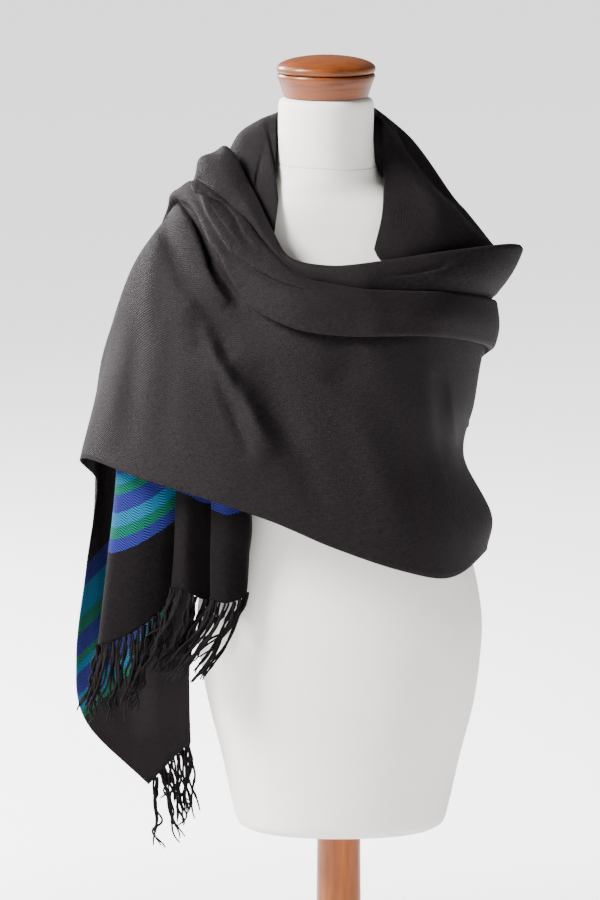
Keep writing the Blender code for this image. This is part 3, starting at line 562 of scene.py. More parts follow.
def jersey_material(colours):
    """Off-white stretched jersey: fine ribs, faint marks, and the seam round the neck."""
    material, tree, shader = blank_material("form_jersey")
    place = node(tree, "ShaderNodeTexCoord").outputs["Object"]
    parts = node(tree, "ShaderNodeSeparateXYZ", {0: place})
    knit = noise(tree, mapped(tree, place, (900.0, 900.0, 420.0)), 1.0, 2.0, 0.6)
    marks = noise(tree, mapped(tree, place, (7.0, 7.0, 5.0)), 1.0, 4.0, 0.6)
    specks = noise(tree, mapped(tree, place, (46.0, 46.0, 40.0)), 1.0, 2.0, 0.7)
    base = (*colours.jersey, 1.0)
    worn = (colours.jersey[0] * 0.93, colours.jersey[1] * 0.91, colours.jersey[2] * 0.87, 1.0)
    tint = mixed(tree, ramp(tree, marks, ((0.42, NOTHING), (0.7, FULL))), base, worn)
    chips = ramp(tree, specks, ((0.735, NOTHING), (0.745, FULL)))
    near_foot = {0: parts.outputs[2], 1: 0.29, 2: 0.235, 3: 0.0, 4: 1.0}
    low = node(tree, "ShaderNodeMapRange", near_foot).outputs[0]
    scuffed = math_node(tree, "MULTIPLY", chips, math_node(tree, "MULTIPLY", low, 0.75))
    tint = mixed(tree, scuffed, tint, SCUFF_COLOUR)
    level = math_node(tree, "MULTIPLY_ADD", parts.outputs[0], 0.03, parts.outputs[2])
    off = math_node(tree, "ABSOLUTE", math_node(tree, "SUBTRACT", level, SEAM_LEVEL))
    seam = node(tree, "ShaderNodeMapRange", {0: off, 1: 0.0, 2: 0.0013, 3: 1.0, 4: 0.0}).outputs[0]
    tint = mixed(tree, math_node(tree, "MULTIPLY", seam, 0.35), tint, SEAM_COLOUR)
    tree.links.new(tint, shader.inputs["Base Color"])
    height = math_node(tree, "SUBTRACT", math_node(tree, "MULTIPLY", knit, 0.12), seam)
    bumped(tree, shader, height, 0.6, 0.0009)
    shader.inputs["Roughness"].default_value = 0.78
    shader.inputs["Specular IOR Level"].default_value = 0.28
    shader.inputs["Sheen Weight"].default_value = 0.1
    return material


def wood_material(name, colour, deep, grain, gloss):
    """Varnished wood: streaks stretched along the grain under a clear coat."""
    material, tree, shader = blank_material(name)
    place = node(tree, "ShaderNodeTexCoord").outputs["Object"]
    streaks = noise(tree, mapped(tree, place, grain), 1.0, 6.0, 0.62, 0.8)
    pores = noise(tree, mapped(tree, place, [4 * value for value in grain]), 1.0, 3.0, 0.7)
    tone = math_node(tree, "MULTIPLY_ADD", pores, 0.35, math_node(tree, "MULTIPLY", streaks, 0.75))
    pale = [min(1.0, 1.35 * value) for value in colour]
    stops = ((0.38, (*deep, 1.0)), (0.56, (*colour, 1.0)), (0.72, (*pale, 1.0)))
    tree.links.new(ramp(tree, tone, stops), shader.inputs["Base Color"])
    bumped(tree, shader, pores, 0.25, 0.0002)
    shader.inputs["Roughness"].default_value = 0.42
    shader.inputs["Specular IOR Level"].default_value = 0.22
    shader.inputs["Coat Weight"].default_value = gloss
    shader.inputs["Coat Roughness"].default_value = 0.07
    return material


def spline(at, knots, points):
    """Smooth cubic through points at rising knots, read at each value of at.

    Each point's slope is the chord between its neighbours, so a fold stays where its row puts it.
    """
    knots = np.asarray(knots, float)
    points = np.asarray(points, float)
    slopes = np.empty_like(points)
    spans = np.diff(knots)
    shape = (-1,) + (1,) * (points.ndim - 1)
    slopes[1:-1] = (points[2:] - points[:-2]) / (spans[1:] + spans[:-1]).reshape(shape)
    slopes[0] = (points[1] - points[0]) / spans[0]
    slopes[-1] = (points[-1] - points[-2]) / spans[-1]
    at = np.clip(np.asarray(at, float), knots[0], knots[-1])
    left = np.clip(np.searchsorted(knots, at, side="right") - 1, 0, len(spans) - 1)
    span = spans[left]
    s = ((at - knots[left]) / span).reshape(shape)
    span = span.reshape(shape)
    return ((2 * s**3 - 3 * s**2 + 1) * points[left] + (s**3 - 2 * s**2 + s) * span * slopes[left]
            + (3 * s**2 - 2 * s**3) * points[left + 1] + (s**3 - s**2) * span * slopes[left + 1])


def split(knots, parts):
    """Values that cut each span between knots into its number of equal parts."""
    pieces = [np.linspace(a, b, n, endpoint=False) for a, b, n in zip(knots, knots[1:], parts)]
    return np.concatenate(pieces + [[knots[-1]]])


def chord_knots(net):
    """Knots along the second axis of a net of points, from its mean chord lengths."""
    chords = np.linalg.norm(np.diff(net, axis=1), axis=2).mean(axis=0)
    return np.concatenate([[0.0], np.cumsum(chords)])


def unit(vectors):
    """Vectors scaled to length one."""
    return vectors / np.linalg.norm(vectors, axis=-1, keepdims=True)


def front_net():
    """Points on each station's rib: turned top, two bands with tucks, then the panel."""
    guides = np.array([TOP_FOLD, BAND_FOLD, ROLL_LIP], float)
    panel = [np.array(line, float) for line in (PANEL_UPPER, PANEL_MIDDLE, PANEL_LOWER, PANEL_HEM)]
    down = unit(guides[2] - guides[0])
    out = unit(np.cross(np.gradient(guides[1], axis=0), down))
    fold = np.array(FRONT_FOLD)[:, None]
    rib = []
    for guide, share, smooth_drop, folded_drop, folded_out in RIB_KNOTS:
        base = guides[guide] + (guides[min(guide + 1, 2)] - guides[guide]) * share
        drop = smooth_drop + (folded_drop - smooth_drop) * fold ** 2
        rib.append(base + down * drop + out * folded_out * fold ** 0.5)
    return np.stack(rib + panel, axis=1)


def crease(grid, creases):
    """Push a front facing grid in, or out, along straight soft creases that fade at both ends."""
    for x0, z0, x1, z1, depth, width in creases:
        start, run = np.array([x0, z0]), np.array([x1 - x0, z1 - z0])
        offset = grid[..., [0, 2]] - start
        along = (offset @ run) / (run @ run)
        nearest = np.clip(along, 0, 1)
        gap = np.linalg.norm(offset - nearest[..., None] * run, axis=-1)
        fade = np.clip(np.sin(np.pi * np.clip(along, -0.2, 1.2) * 0.7 + 0.45), 0, 1)
        grid[..., 1] += depth * fade * np.exp(-(gap / width) ** 2)
    return grid


def front_knots(net):
    """Knots down the rib, and along the stations, of the crossing front."""
    return chord_knots(net), chord_knots(net.transpose(1, 0, 2))


def rib_split(down_knots, panel, folds):
    """Values down a rib: so many parts for each span of the folds and of the panel."""
    tucks = len(RIB_KNOTS) - 1
    plain = np.broadcast_to(panel, len(down_knots) - 1 - tucks)
    return split(down_knots, [*np.broadcast_to(folds, tucks), *plain])


def front_surface(across=3, panel=3, folds=1):
    """The crossing front as a grid: stations by points down the rib."""
    net = front_net()
    down_knots, along_knots = front_knots(net)
    before = net[0] + np.array(FRONT_LEAD)
    after = over_rails(down_knots)[:, 0]
    net_wide = np.concatenate([[before], net, [after]])
    knots = np.concatenate([[-RIM_SPAN], along_knots, [along_knots[-1] + RIM_SPAN]])
    ribs = spline(rib_split(down_knots, panel, folds), down_knots, net_wide.transpose(1, 0, 2))
    grid = spline(split(along_knots, np.broadcast_to(across, len(net) - 1)), knots, ribs.transpose(1, 0, 2))
    return crease(grid, FRONT_CREASES)


def directions(grid, axis):
    """At each point the sum of the directions of the grid lines that meet there."""
    steps = np.moveaxis(unit(np.diff(grid, axis=axis)), axis, 0)
    joined = np.concatenate([2 * steps[:1], steps[1:] + steps[:-1], 2 * steps[-1:]])
    return np.moveaxis(joined, 0, axis)


def surface_normals(grid):
    """Unit normals of a grid that halve the angle of each fold."""
    return unit(np.cross(directions(grid, 0), directions(grid, 1)))


def over_rails(down_knots):
    """The over-shoulder end's guide points, spread over the same rib points as the front."""
    share = 1 - down_knots / down_knots[-1]
    folds = np.array(OVER_FOLDS, float)
    return spline(1 - share, OVER_SHARE, folds)


def over_surface(parts=3, panel=3, folds=1):
    """The end over the left shoulder: from the front's left edge back and down to its hem."""
    net = front_net()
    down_knots, _ = front_knots(net)
    rails = over_rails(down_knots)
    wide = np.concatenate([net[-2][:, None], net[-1][:, None], rails], axis=1)
    knots = np.array((-RIM_SPAN, 0.0) + OVER_KNOTS)
    rows = split(knots[1:], [parts, parts + 1, parts, parts, parts])
    grid = spline(rows, knots, wide.transpose(1, 0, 2))
    down = rib_split(down_knots, panel, folds)
    grid = spline(down, down_knots, grid.transpose(1, 0, 2)).transpose(1, 0, 2)
    across = (down / down[-1])[None, :]
    fall = (rows / rows[-1])[:, None]
    lift = np.zeros(grid.shape[:2])
    for top, hem, height, width in OVER_RIPPLES:
        ridge = np.exp(-((across - top - (hem - top) * fall) / width) ** 2)
        lift += height * ridge * np.sin(np.pi * np.clip(fall, 0, 1) ** 0.8)
    return grid - surface_normals(grid) * lift[..., None]


def back_surface(across=2, rise=2, panel=3, folds=1):
    """Collar and back as one grid of radial ribs, with the mask of the faces that exist."""
    collar = np.array(COLLAR_FOLDS, float)
    net = front_net()
    shared = [ROLL_KNOT, -3, -2, -1]
    down_knots, _ = front_knots(net)
    down = rib_split(down_knots, panel, folds)
    seam = spline(down, down_knots, net[0])
    fall = np.array(BACK_FALL, float)
    count = len(collar)
    low = np.repeat(collar[:, -1][:, None], len(COLLAR_FALL), axis=1)
    low[:, :, 2] -= np.array(COLLAR_FALL)
    low[BACK_FIRST_FOLD:BACK_SEAM_FOLD] = fall
    low[BACK_SEAM_FOLD] = net[0][shared]
    low[BACK_SEAM_FOLD + 1] = low[BACK_SEAM_FOLD] + np.array(BACK_LEAD)
    rib = np.concatenate([collar, low], axis=1)
    rib_knots = np.concatenate([COLLAR_KNOTS, down_knots[shared]])
    rows = np.concatenate([split(COLLAR_KNOTS, [rise] * (len(COLLAR_KNOTS) - 1))[:-1], down])
    columns = split(np.arange(count), [across] * (count - 1))
    grid = spline(columns, np.arange(count), rib)
    grid = spline(rows, rib_knots, grid.transpose(1, 0, 2)).transpose(1, 0, 2)
    lift = np.zeros(grid.shape[:2])
    for across0, down0, across1, down1, height, width in BACK_RIPPLES:
        share = np.clip((rows - down0) / (down1 - down0), -0.15, 1.15)[None, :]
        ridge = columns[:, None] - across0 - (across1 - across0) * share
        lift += height * np.exp(-(ridge / width) ** 2) * np.clip(np.sin(np.pi * (share + 0.15) / 1.3), 0, 1)
    lift *= np.clip((BACK_SEAM_FOLD - columns) / 0.8, 0, 1)[:, None]
    grid = grid + surface_normals(grid) * lift[..., None]
    seam_column = BACK_SEAM_FOLD * across
    drop = len(rows) - len(down)
    miss = seam - grid[seam_column, drop:]
    for step in range(across):
        grid[seam_column - step, drop:] += miss * (1 - step / across)
    mask = np.ones((len(columns) - 1, len(rows) - 1), bool)
    mask[seam_column:, drop:] = False
    mask[:BACK_FIRST_FOLD * across, drop:] = False
    return grid, mask


def under_surface(across=2, parts=3):
    """The end under the front: a pleated fall whose pleat edges are the table's rows."""
    pleats = np.array(UNDER_PLEATS, float)
    rows = split(np.arange(6), [1, 2] + [parts] * 3)
    columns = split(np.arange(len(pleats)), [across] * (len(pleats) - 1))
    grid = spline(columns, np.arange(len(pleats)), pleats)
    return spline(rows, np.arange(6), grid.transpose(1, 0, 2)).transpose(1, 0, 2)


def form_rings(around=36, parts=1):
    """Rings of the dress form: a rounded square of its row's half width and two depths."""
    table = np.array(FORM_RINGS)
    chords = np.hypot(np.diff(table[:, 0]), np.diff(table[:, 2]))
    knots = np.concatenate([[0.0], np.cumsum(chords)])
    rows = spline(split(knots, [parts] * len(chords)), knots, table)
    angle = np.linspace(0, 2 * np.pi, around, endpoint=False)
    z, centre, wide, front, back, power = (column[:, None] for column in rows.T)
    cos, sin = np.cos(angle)[None], np.sin(angle)[None]
    depth = np.where(sin < 0, front, back)
    x = centre + wide * np.sign(cos) * np.abs(cos) ** (2 / power)
    y = depth * np.sign(sin) * np.abs(sin) ** (2 / power)
    return np.stack([x, y, np.broadcast_to(z, x.shape)], axis=-1)


def hem_line(edge, count):
    """Evenly spaced points along the hem of a sheet."""
    lengths = np.concatenate([[0.0], np.cumsum(np.linalg.norm(np.diff(edge, axis=0), axis=1))])
    share = np.linspace(0, 1, count)
    points = np.stack([np.interp(share, lengths / lengths[-1], edge[:, k]) for k in range(3)], axis=-1)
    return points, share


def grid_faces(columns, rows, mask=None):
    """Corner numbers of the quads of a grid, where the mask allows them."""
    i, j = np.meshgrid(np.arange(columns - 1), np.arange(rows - 1), indexing="ij")
    if mask is not None:
        i, j = i[mask], j[mask]
    corner = (i * rows + j).ravel()
    return np.stack([corner, corner + 1, corner + rows + 1, corner + rows], axis=1)


def overlapped(grid, edges, behind=None):
    """Raise the cloth towards the viewer along bent edges.

    The height times e to the minus square of (distance over width), with a wide width on the left
    of the way and a narrow one on the right, where half as deep a groove follows; a push to the
    right of one and a half narrow widths lays the raised side over the groove, as one layer on
    the next. The sine of the share of the way fades both ends.
    """
    for path, height, soft, sharp in edges:
        corners = np.array(path, float)
        nearest = np.full(grid.shape[:2], np.inf)
        left, share = np.zeros_like(nearest), np.zeros_like(nearest)
        right_way = np.zeros(grid.shape[:2] + (2,))
        for step, (start, end) in enumerate(zip(corners, corners[1:])):
            run = end - start
            offset = grid[..., [0, 2]] - start
            along = np.clip((offset @ run) / (run @ run), 0, 1)
            gap = offset - along[..., None] * run
            distance = np.linalg.norm(gap, axis=-1)
            closer = distance < nearest
            nearest = np.where(closer, distance, nearest)
            left = np.where(closer, run[0] * offset[..., 1] - run[1] * offset[..., 0], left)
            share = np.where(closer, (step + along) / (len(corners) - 1), share)
            beside = np.array([run[1], -run[0]]) / np.linalg.norm(run)
            right_way = np.where(closer[..., None], beside, right_way)
        fade = np.clip(np.sin(np.pi * share), 0, 1) ** 0.6
        lift = np.exp(-(nearest / np.where(left > 0, soft, sharp)) ** 2)
        groove = 0.5 * np.exp(-((nearest - 2.2 * sharp) / (1.6 * sharp)) ** 2) * (left <= 0)
        if behind is not None:
            fade = fade * np.clip((behind - grid[..., 1]) / 20, 0, 1)
        grid[..., 1] -= height * fade * (lift - groove)
        push = 1.5 * sharp * fade * np.exp(-(nearest / np.where(left > 0, 0.6 * soft, 1.2 * sharp)) ** 2)
        grid[..., [0, 2]] += right_way * push[..., None]
    return grid


def folded_from(grid, turn, edges):
    """Fold the side that a viewer sees after a walk of so many degrees round the object.

    The grid is turned by that angle about z, folded, and turned back; the share of each fold rises
    from 0 at SIDE_START off the axis to 1 at SIDE_REACH further out.
    """
    cosine, sine = np.cos(np.radians(turn)), np.sin(np.radians(turn))
    turning = np.array([[cosine, -sine, 0.0], [sine, cosine, 0.0], [0.0, 0.0, 1.0]])
    seen = grid @ turning
    share = np.clip((-seen[..., 1] - SIDE_START) / SIDE_REACH, 0, 1)[..., None]
    folded = overlapped(seen.copy(), edges)
    return (seen + (folded - seen) * share) @ turning.T


def pushed_out(grid, corners):
    """Push soft corners out of the outline: each push fades as e to the minus square of its distance."""
    for x, z, radius, push_x, push_z in corners:
        distance = np.linalg.norm(grid[..., [0, 2]] - np.array([x, z]), axis=-1)
        fade = np.exp(-(distance / radius) ** 2)[..., None]
        grid += fade * np.array([push_x, 0.0, push_z])
    return grid


def merged_piece(name, points, quads, uv, material):
    """One mesh from millimetre points and quads, with a UV for each point, coincident points joined."""
    used = np.unique(quads)
    renumber = np.zeros(len(points), int)
    renumber[used] = np.arange(len(used))
    mesh = bpy.data.meshes.new(name)
    mesh.from_pydata((points[used] * MM).tolist(), [], renumber[quads].tolist())
    layer = mesh.uv_layers.new(name="cloth")
    layer.data.foreach_set("uv", uv[quads.ravel()].astype(np.float32).ravel())
    shape = bmesh.new()
    shape.from_mesh(mesh)
    bmesh.ops.remove_doubles(shape, verts=shape.verts, dist=0.00002)
    shape.to_mesh(mesh)
    shape.free()
    mesh.materials.append(material)
    mesh.shade_smooth()
    piece = bpy.data.objects.new(name, mesh)
    bpy.context.scene.collection.objects.link(piece)
    return piece


def thicken(piece, thickness):
    """Give a sheet its thickness, half to each side."""
    wall = piece.modifiers.new("thickness", "SOLIDIFY")
    wall.thickness = thickness
    wall.offset = 0.0
    wall.use_quality_normals = True


def way_along(grid, axis):
    """Running length along one axis of a grid, in metres."""
    steps = np.linalg.norm(np.diff(grid, axis=axis), axis=-1)
    first = np.zeros_like(np.take(steps, [0], axis=axis))
    return np.cumsum(np.concatenate([first, steps], axis=axis), axis=axis) * MM


# Columns for each station of the front, and rows for each span of a rib
COLUMNS_OF_FRONT = (8, 8, 14, 14, 18, 28, 34, 36)
ROWS_OF_FOLDS = (3, 3, 3, 12, 12, 3, 3, 3, 3, 3, 16, 16, 3, 3, 3, 3, 3)
ROWS_OF_PANEL = (24, 18, 12, 9)

# Lowest corner (x, z) of the over-shoulder end's hem, and the way square to that hem in the front;
# from DRAWN_FROM on, the stripes rise by DRAWN_SLOPE for each millimetre of x, over DRAWN_REACH
HEM_CORNER = (-211.0, 264.0)
HEM_NORMAL = (-0.66, 0.75)
DRAWN_FROM = -225
DRAWN_REACH = 70
DRAWN_SLOPE = 0.75

# Column of the pleated end's table, and how far its stripes are shifted there
PLEAT_COLUMN = (0.0, 1.0, 3.0, 5.0, 6.0, 9.0, 10.0, 13.0)
PLEAT_SHIFT = (-0.008, -0.008, 0.0, 0.007, -0.008, -0.008, 0.0, 0.0)

# Corners that stand out of the left shoulder's outline: place (x, z), radius and push
OUTLINE_CORNERS = (
    # x, z, radius, push_x, push_z
    (-152, 960, 14.0, -9.0, 8.0),
    (-124, 975, 9.0, -1.0, 3.0),
    (-184, 923, 9.0, -6.0, 3.0),
)


def mean_way(grid):
    """Way from a grid's last column back to each column, the mean over its rows."""
    return way_along(grid[::-1], 0)[::-1].mean(axis=1, keepdims=True)


def way_from_hem(over):
    """The thrown end's way from its hem, in metres, which sets where its stripes lie.

    Along the inner edge and far from the hem it is the way along the cloth. Elsewhere it is the
    distance square to the hem's line, less what the stripes are drawn up towards the form.
    """
    way = way_along(over[::-1], 0)[::-1]
    askew = ((over[..., [0, 2]] - np.array(HEM_CORNER)) @ np.array(HEM_NORMAL)) * MM
    drawn_up = DRAWN_SLOPE * np.clip(over[..., 0] - DRAWN_FROM, 0, DRAWN_REACH) * MM
    across = np.linspace(0, 1, over.shape[1])
    outer = np.clip((across - 0.15) / 0.15, 0, 1)
    near_hem = np.clip(2.2 - way / 0.25, 0, 1)
    return way + (askew - drawn_up - way) * outer * near_hem


def wrap_cloth(sizes, material):
    """Back, front and over-shoulder end as one sheet of cloth that runs on without a seam."""
    fine = dict(panel=ROWS_OF_PANEL, folds=ROWS_OF_FOLDS)
    front = crease(front_surface(across=COLUMNS_OF_FRONT, **fine), FINE_CREASES)
    front = overlapped(front, FRONT_EDGES)
    over = over_surface(parts=12, **fine)
    over = folded_from(over, 180, OVER_EDGES)
    over = folded_from(over, 270, LEFT_EDGES)
    over = pushed_out(over, OUTLINE_CORNERS)
    front = pushed_out(front, OUTLINE_CORNERS)
    over += (front[-1] - over[0])[None] * np.exp(-np.arange(len(over)) / 8.0)[:, None, None]
    back, mask = back_surface(across=9, rise=12, **fine)
    back = overlapped(back, COLLAR_EDGES, behind=30)
    back = folded_from(back, 180, BACK_EDGES)
    back = folded_from(back, 90, RIGHT_EDGES)
    rows = front.shape[1]
    over_v = way_from_hem(over)
    top = float(over_v[0].mean())
    front_v = top + mean_way(front) * np.ones((1, rows))
    back_v = front_v[0, 0] + mean_way(back) * np.ones((1, back.shape[1]))
    down = way_along(front, 1).mean(axis=0)
    upper = back.shape[1] - rows
    down_back = way_along(back, 1).mean(axis=0)
    down_back -= down_back[upper]
    points, quads, uv, first = [], [], [], 0
    for grid, u, v, hole in (
        (back, down_back, back_v, mask),
        (front, down, front_v, None),
        (over, down, over_v, None),
    ):
        faces = grid_faces(*grid.shape[:2], hole)[:, ::-1]
        points.append(grid.reshape(-1, 3))
        quads.append(faces + first)
        uv.append(np.stack([np.broadcast_to(u, v.shape), v], axis=-1).reshape(-1, 2))
        first += grid.shape[0] * grid.shape[1]
    joined = [np.concatenate(part) for part in (points, quads, uv)]
    piece = merged_piece("shawl_wrap", *joined, material)
    thicken(piece, sizes.cloth_thickness)
    return piece, over


def under_cloth(sizes, material):
    """The pleated end that hangs under the front."""
    under = under_surface(across=10, parts=20)
    v = way_along(under[:, ::-1], 1)[:, ::-1]
    column = np.linspace(0, len(UNDER_PLEATS) - 1, len(under))
    v = v + np.interp(column, PLEAT_COLUMN, PLEAT_SHIFT)[:, None]
    u = way_along(under, 0).mean(axis=1)[:, None] * np.ones((1, under.shape[1]))
    quads = grid_faces(*under.shape[:2])[:, ::-1]
    uv = np.stack([u, v], axis=-1).reshape(-1, 2)
    piece = merged_piece("shawl_pleated_end", under.reshape(-1, 3), quads, uv, material)
    thicken(piece, sizes.cloth_thickness)
    return piece, under


def yarn_tubes(name, paths, radii, material, sides=6):
    """Closed tubes round many paths of equal point counts: strands by points by three."""
    strands, steps = paths.shape[:2]
    along = unit(np.gradient(paths, axis=1))
    side = unit(np.cross(along, np.array([0.31, 0.9, 0.17])))
    other = np.cross(along, side)
    angle = np.linspace(0, 2 * np.pi, sides, endpoint=False)
    ring = side[:, :, None] * np.cos(angle)[:, None] + other[:, :, None] * np.sin(angle)[:, None]
    points = (paths[:, :, None] + ring * radii[:, :, None, None]).reshape(-1, 3)
    s, i, k = np.meshgrid(np.arange(strands), np.arange(steps - 1), np.arange(sides), indexing="ij")
    corner = (s * steps + i) * sides
    nxt = (k + 1) % sides
    quads = np.stack([corner + k, corner + nxt, corner + sides + nxt, corner + sides + k], axis=-1)
    quads = quads.reshape(-1, 4)
    length = way_along(paths, 1) * 500
    uv = np.stack(np.broadcast_arrays(np.arange(sides) * 0.1, length[..., None]), axis=-1).reshape(-1, 2)
    caps = []
    for step, order in ((0, -1), (steps - 1, 1)):
        ends = (np.arange(strands) * steps + step)[:, None] * sides + np.arange(sides)[::order]
        caps += ends.tolist()
    mesh = bpy.data.meshes.new(name)
    mesh.from_pydata((points * MM).tolist(), [], quads.tolist() + caps)
    corners = np.concatenate([quads.ravel(), np.ravel(caps)])
    layer = mesh.uv_layers.new(name="cloth")
    layer.data.foreach_set("uv", uv[corners].astype(np.float32).ravel())
    mesh.materials.append(material)
    mesh.shade_smooth()
    piece = bpy.data.objects.new(name, mesh)
    bpy.context.scene.collection.objects.link(piece)
    return piece


def fringe(name, edge, table, count, material, seed):
    """Knotted fringe: each bunch runs from the hem to a knot, then parts into loose twisted tails.

    A tail is its root plus a drift that grows as the way to the power 1.4, a slow bend of two sine
    waves, and a turn about the bunch's middle that makes the twist; the radius swells at the knots.
    """
    chance = np.random.default_rng(seed)
    roots, share = hem_line(edge, count + 2)
    roots, share = roots[1:-1], share[1:-1]
    share = np.clip(share + chance.normal(0, 0.25 / count, count), 0, 1)
    rows = spline(share, [row[0] for row in table], [row[1:] for row in table])
    steps, tails = 34, TAILS
    t = np.linspace(0, 1, steps)[None, :, None]
    total = count * tails
    which = np.repeat(np.arange(count), tails)
    base = roots[which][:, None] + chance.normal(0, 1, (total, 1, 3)) * ROOT_SPREAD
    drift = np.concatenate([rows[which, :2], np.zeros((total, 1))], axis=1)[:, None]
    bunch_sway = np.repeat(chance.normal(0, 1, (count, 1, 3)) * BUNCH_SWAY, tails, axis=0)
    lone_sway = chance.normal(0, 1, (total, 1, 3)) * TAIL_SWAY
    bend = np.repeat(chance.normal(0, 1, (count, 1, 3)) * SLOW_BEND, tails, axis=0)
    wave = chance.normal(0, 1, (total, 1, 3)) * FINE_WAVE
    phase = chance.uniform(0, 6.28, (total, 1, 1))
    spread = np.repeat(chance.normal(0, 0.10, count), tails) + chance.normal(0, 0.05, total)
    length = rows[which, 2] * (1 + spread)
    knot = np.repeat(chance.uniform(0.14, 0.26, count), tails)[:, None, None]
    second = np.repeat(chance.uniform(0.55, 0.95, count), tails)[:, None, None]
    loose = np.clip((t - knot) / (1 - knot), 0, 1)
    turn = phase + t * 11.0
    tight = np.minimum(1.0, np.abs(t - knot) / 0.06)
    twist = np.concatenate([np.cos(turn), np.sin(turn), np.zeros_like(turn)], axis=-1) * (0.5 + 0.8 * tight)
    fall = np.array([0.0, 0.0, -1.0]) * length[:, None, None] * t
    path = base + fall + drift * t ** 1.4 + bunch_sway * t ** 1.2 + lone_sway * loose ** 1.6
    path = path + bend * np.sin(t * 6.0 + phase) * t + wave * np.sin(loose * 12.0 + phase) * loose + twist
    near = np.exp(-((t - knot) / 0.030) ** 2) + 0.6 * np.exp(-((t - second) / 0.022) ** 2)
    radii = (1.35 + 1.2 * near - 0.6 * loose ** 5)[..., 0] * np.ones((total, steps))
    path[..., 2] = np.maximum(path[..., 2], base[..., 2] - LONGEST_TAIL)
    return yarn_tubes(name, path, radii, material)


def turned_piece(name, profile, centre_x, material, around=128):
    """A turned shape: its profile of radius and height, carried round the vertical axis."""
    profile = np.array(profile, float)
    angle = np.linspace(0, 2 * np.pi, around, endpoint=False)
    radius, z = profile.T
    rings = np.stack([
        centre_x + radius[:, None] * np.cos(angle),
        radius[:, None] * np.sin(angle),
        np.broadcast_to(z[:, None], (len(z), around)),
    ], axis=-1)
    return ringed_piece(name, rings, material)


def ringed_piece(name, rings, material):
    """A closed piece through rings of equal point counts, lowest first, with flat ends."""
    count, around = rings.shape[:2]
    level, k = np.meshgrid(np.arange(count - 1), np.arange(around), indexing="ij")
    nxt = (k + 1) % around
    quads = np.stack([level * around + k, level * around + nxt, (level + 1) * around + nxt,
                      (level + 1) * around + k], axis=-1).reshape(-1, 4)
    ends = [list(range(around - 1, -1, -1)), [(count - 1) * around + k for k in range(around)]]
    mesh = bpy.data.meshes.new(name)
    mesh.from_pydata((rings.reshape(-1, 3) * MM).tolist(), [], quads.tolist() + ends)
    mesh.materials.append(material)
    mesh.shade_smooth()
    mesh.set_sharp_from_angle(angle=math.radians(40))
    piece = bpy.data.objects.new(name, mesh)
    bpy.context.scene.collection.objects.link(piece)
    return piece


class ShawlSizes(bpy.types.PropertyGroup):
    """Sizes that a maker would change."""

    cloth_thickness: bpy.props.FloatProperty(
        name="Cloth Thickness", description="Thickness of the woven cloth", default=0.0014, unit="LENGTH")
    under_strands: bpy.props.IntProperty(
        name="Strands Under", description="Fringe bunches of the end under the front",
        default=36, min=8, max=90)
    over_strands: bpy.props.IntProperty(
        name="Strands Over", description="Fringe bunches of the end over the shoulder",
        default=10, min=6, max=90)
    light_power: bpy.props.FloatProperty(
        name="Light", description="Power of the main light", default=790.0, min=1.0)


class ShawlColours(bpy.types.PropertyGroup):
    """Yarn and finish colours, as linear values."""

    black: bpy.props.FloatVectorProperty(
        name="Black", description="Ground of the cloth",
        subtype="COLOR", default=(0.0046, 0.0037, 0.0040), size=3)
    indigo: bpy.props.FloatVectorProperty(
        name="Indigo", description="Blue stripe yarn",
        subtype="COLOR", default=(0.018, 0.022, 0.13), size=3)
    cyan: bpy.props.FloatVectorProperty(
        name="Cyan", description="Light blue stripe yarn",
        subtype="COLOR", default=(0.010, 0.115, 0.19), size=3)
    green: bpy.props.FloatVectorProperty(
        name="Green", description="Green stripe yarn",
        subtype="COLOR", default=(0.004, 0.10, 0.055), size=3)
    jersey: bpy.props.FloatVectorProperty(
        name="Jersey", description="Cover of the form",
        subtype="COLOR", default=(0.74, 0.71, 0.675), size=3)
    cap: bpy.props.FloatVectorProperty(
        name="Cap", description="Varnished neck cap",
        subtype="COLOR", default=(0.125, 0.029, 0.0036), size=3)
    pole: bpy.props.FloatVectorProperty(
        name="Pole", description="Varnished pole and base",
        subtype="COLOR", default=(0.210, 0.054, 0.0056), size=3)


class SHAWL_OT_wrap(bpy.types.Operator):
    """Build the wound cloth with its fringe"""

    bl_idname = "shawl.wrap"
    bl_label = "Wound Cloth"

    def execute(self, context):
        """Make the cloth that goes round the form and over the shoulder, and the fringe of its end."""
        sizes, colours = context.scene.shawl_sizes, context.scene.shawl_colours
        piece, over = wrap_cloth(sizes, cloth_material("shawl_cloth", colours, OVER_STRIPES, 1.0, 0.075))
        hem = over[-1][::-1]
        yarn = fringe("fringe_over_yarn", hem, OVER_FRINGE, sizes.over_strands, yarn_material(colours), 7)
        stretches = ("shawl_front", "shawl_back", "shawl_end_over")
        for made, nodes in ((piece, stretches), (yarn, ("fringe_over",))):
            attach(made, "root")
            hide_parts(*nodes)
        return {"FINISHED"}


class SHAWL_OT_pleated_end(bpy.types.Operator):
    """Build the pleated end with its fringe"""

    bl_idname = "shawl.pleated_end"
    bl_label = "Pleated End"

    def execute(self, context):
        """Make the end that hangs under the front, and its fringe."""
        sizes, colours = context.scene.shawl_sizes, context.scene.shawl_colours
        # The same cloth with its ground painted darker (depth 0.45) as painted shade, for the end that
        # hangs in the front's shadow
        cloth = cloth_material("shawl_cloth_end_painted_shade", colours, UNDER_STRIPES, 0.45, 0.03)
        piece, under = under_cloth(sizes, cloth)
        yarn = fringe("fringe_under_yarn", under[:, -1], UNDER_FRINGE, sizes.under_strands,
                      bpy.data.materials["fringe_yarn"], 3)
        for made, nodes in ((piece, ("shawl_end_under",)), (yarn, ("fringe_under",))):
            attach(made, "root")
            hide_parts(*nodes)
        return {"FINISHED"}


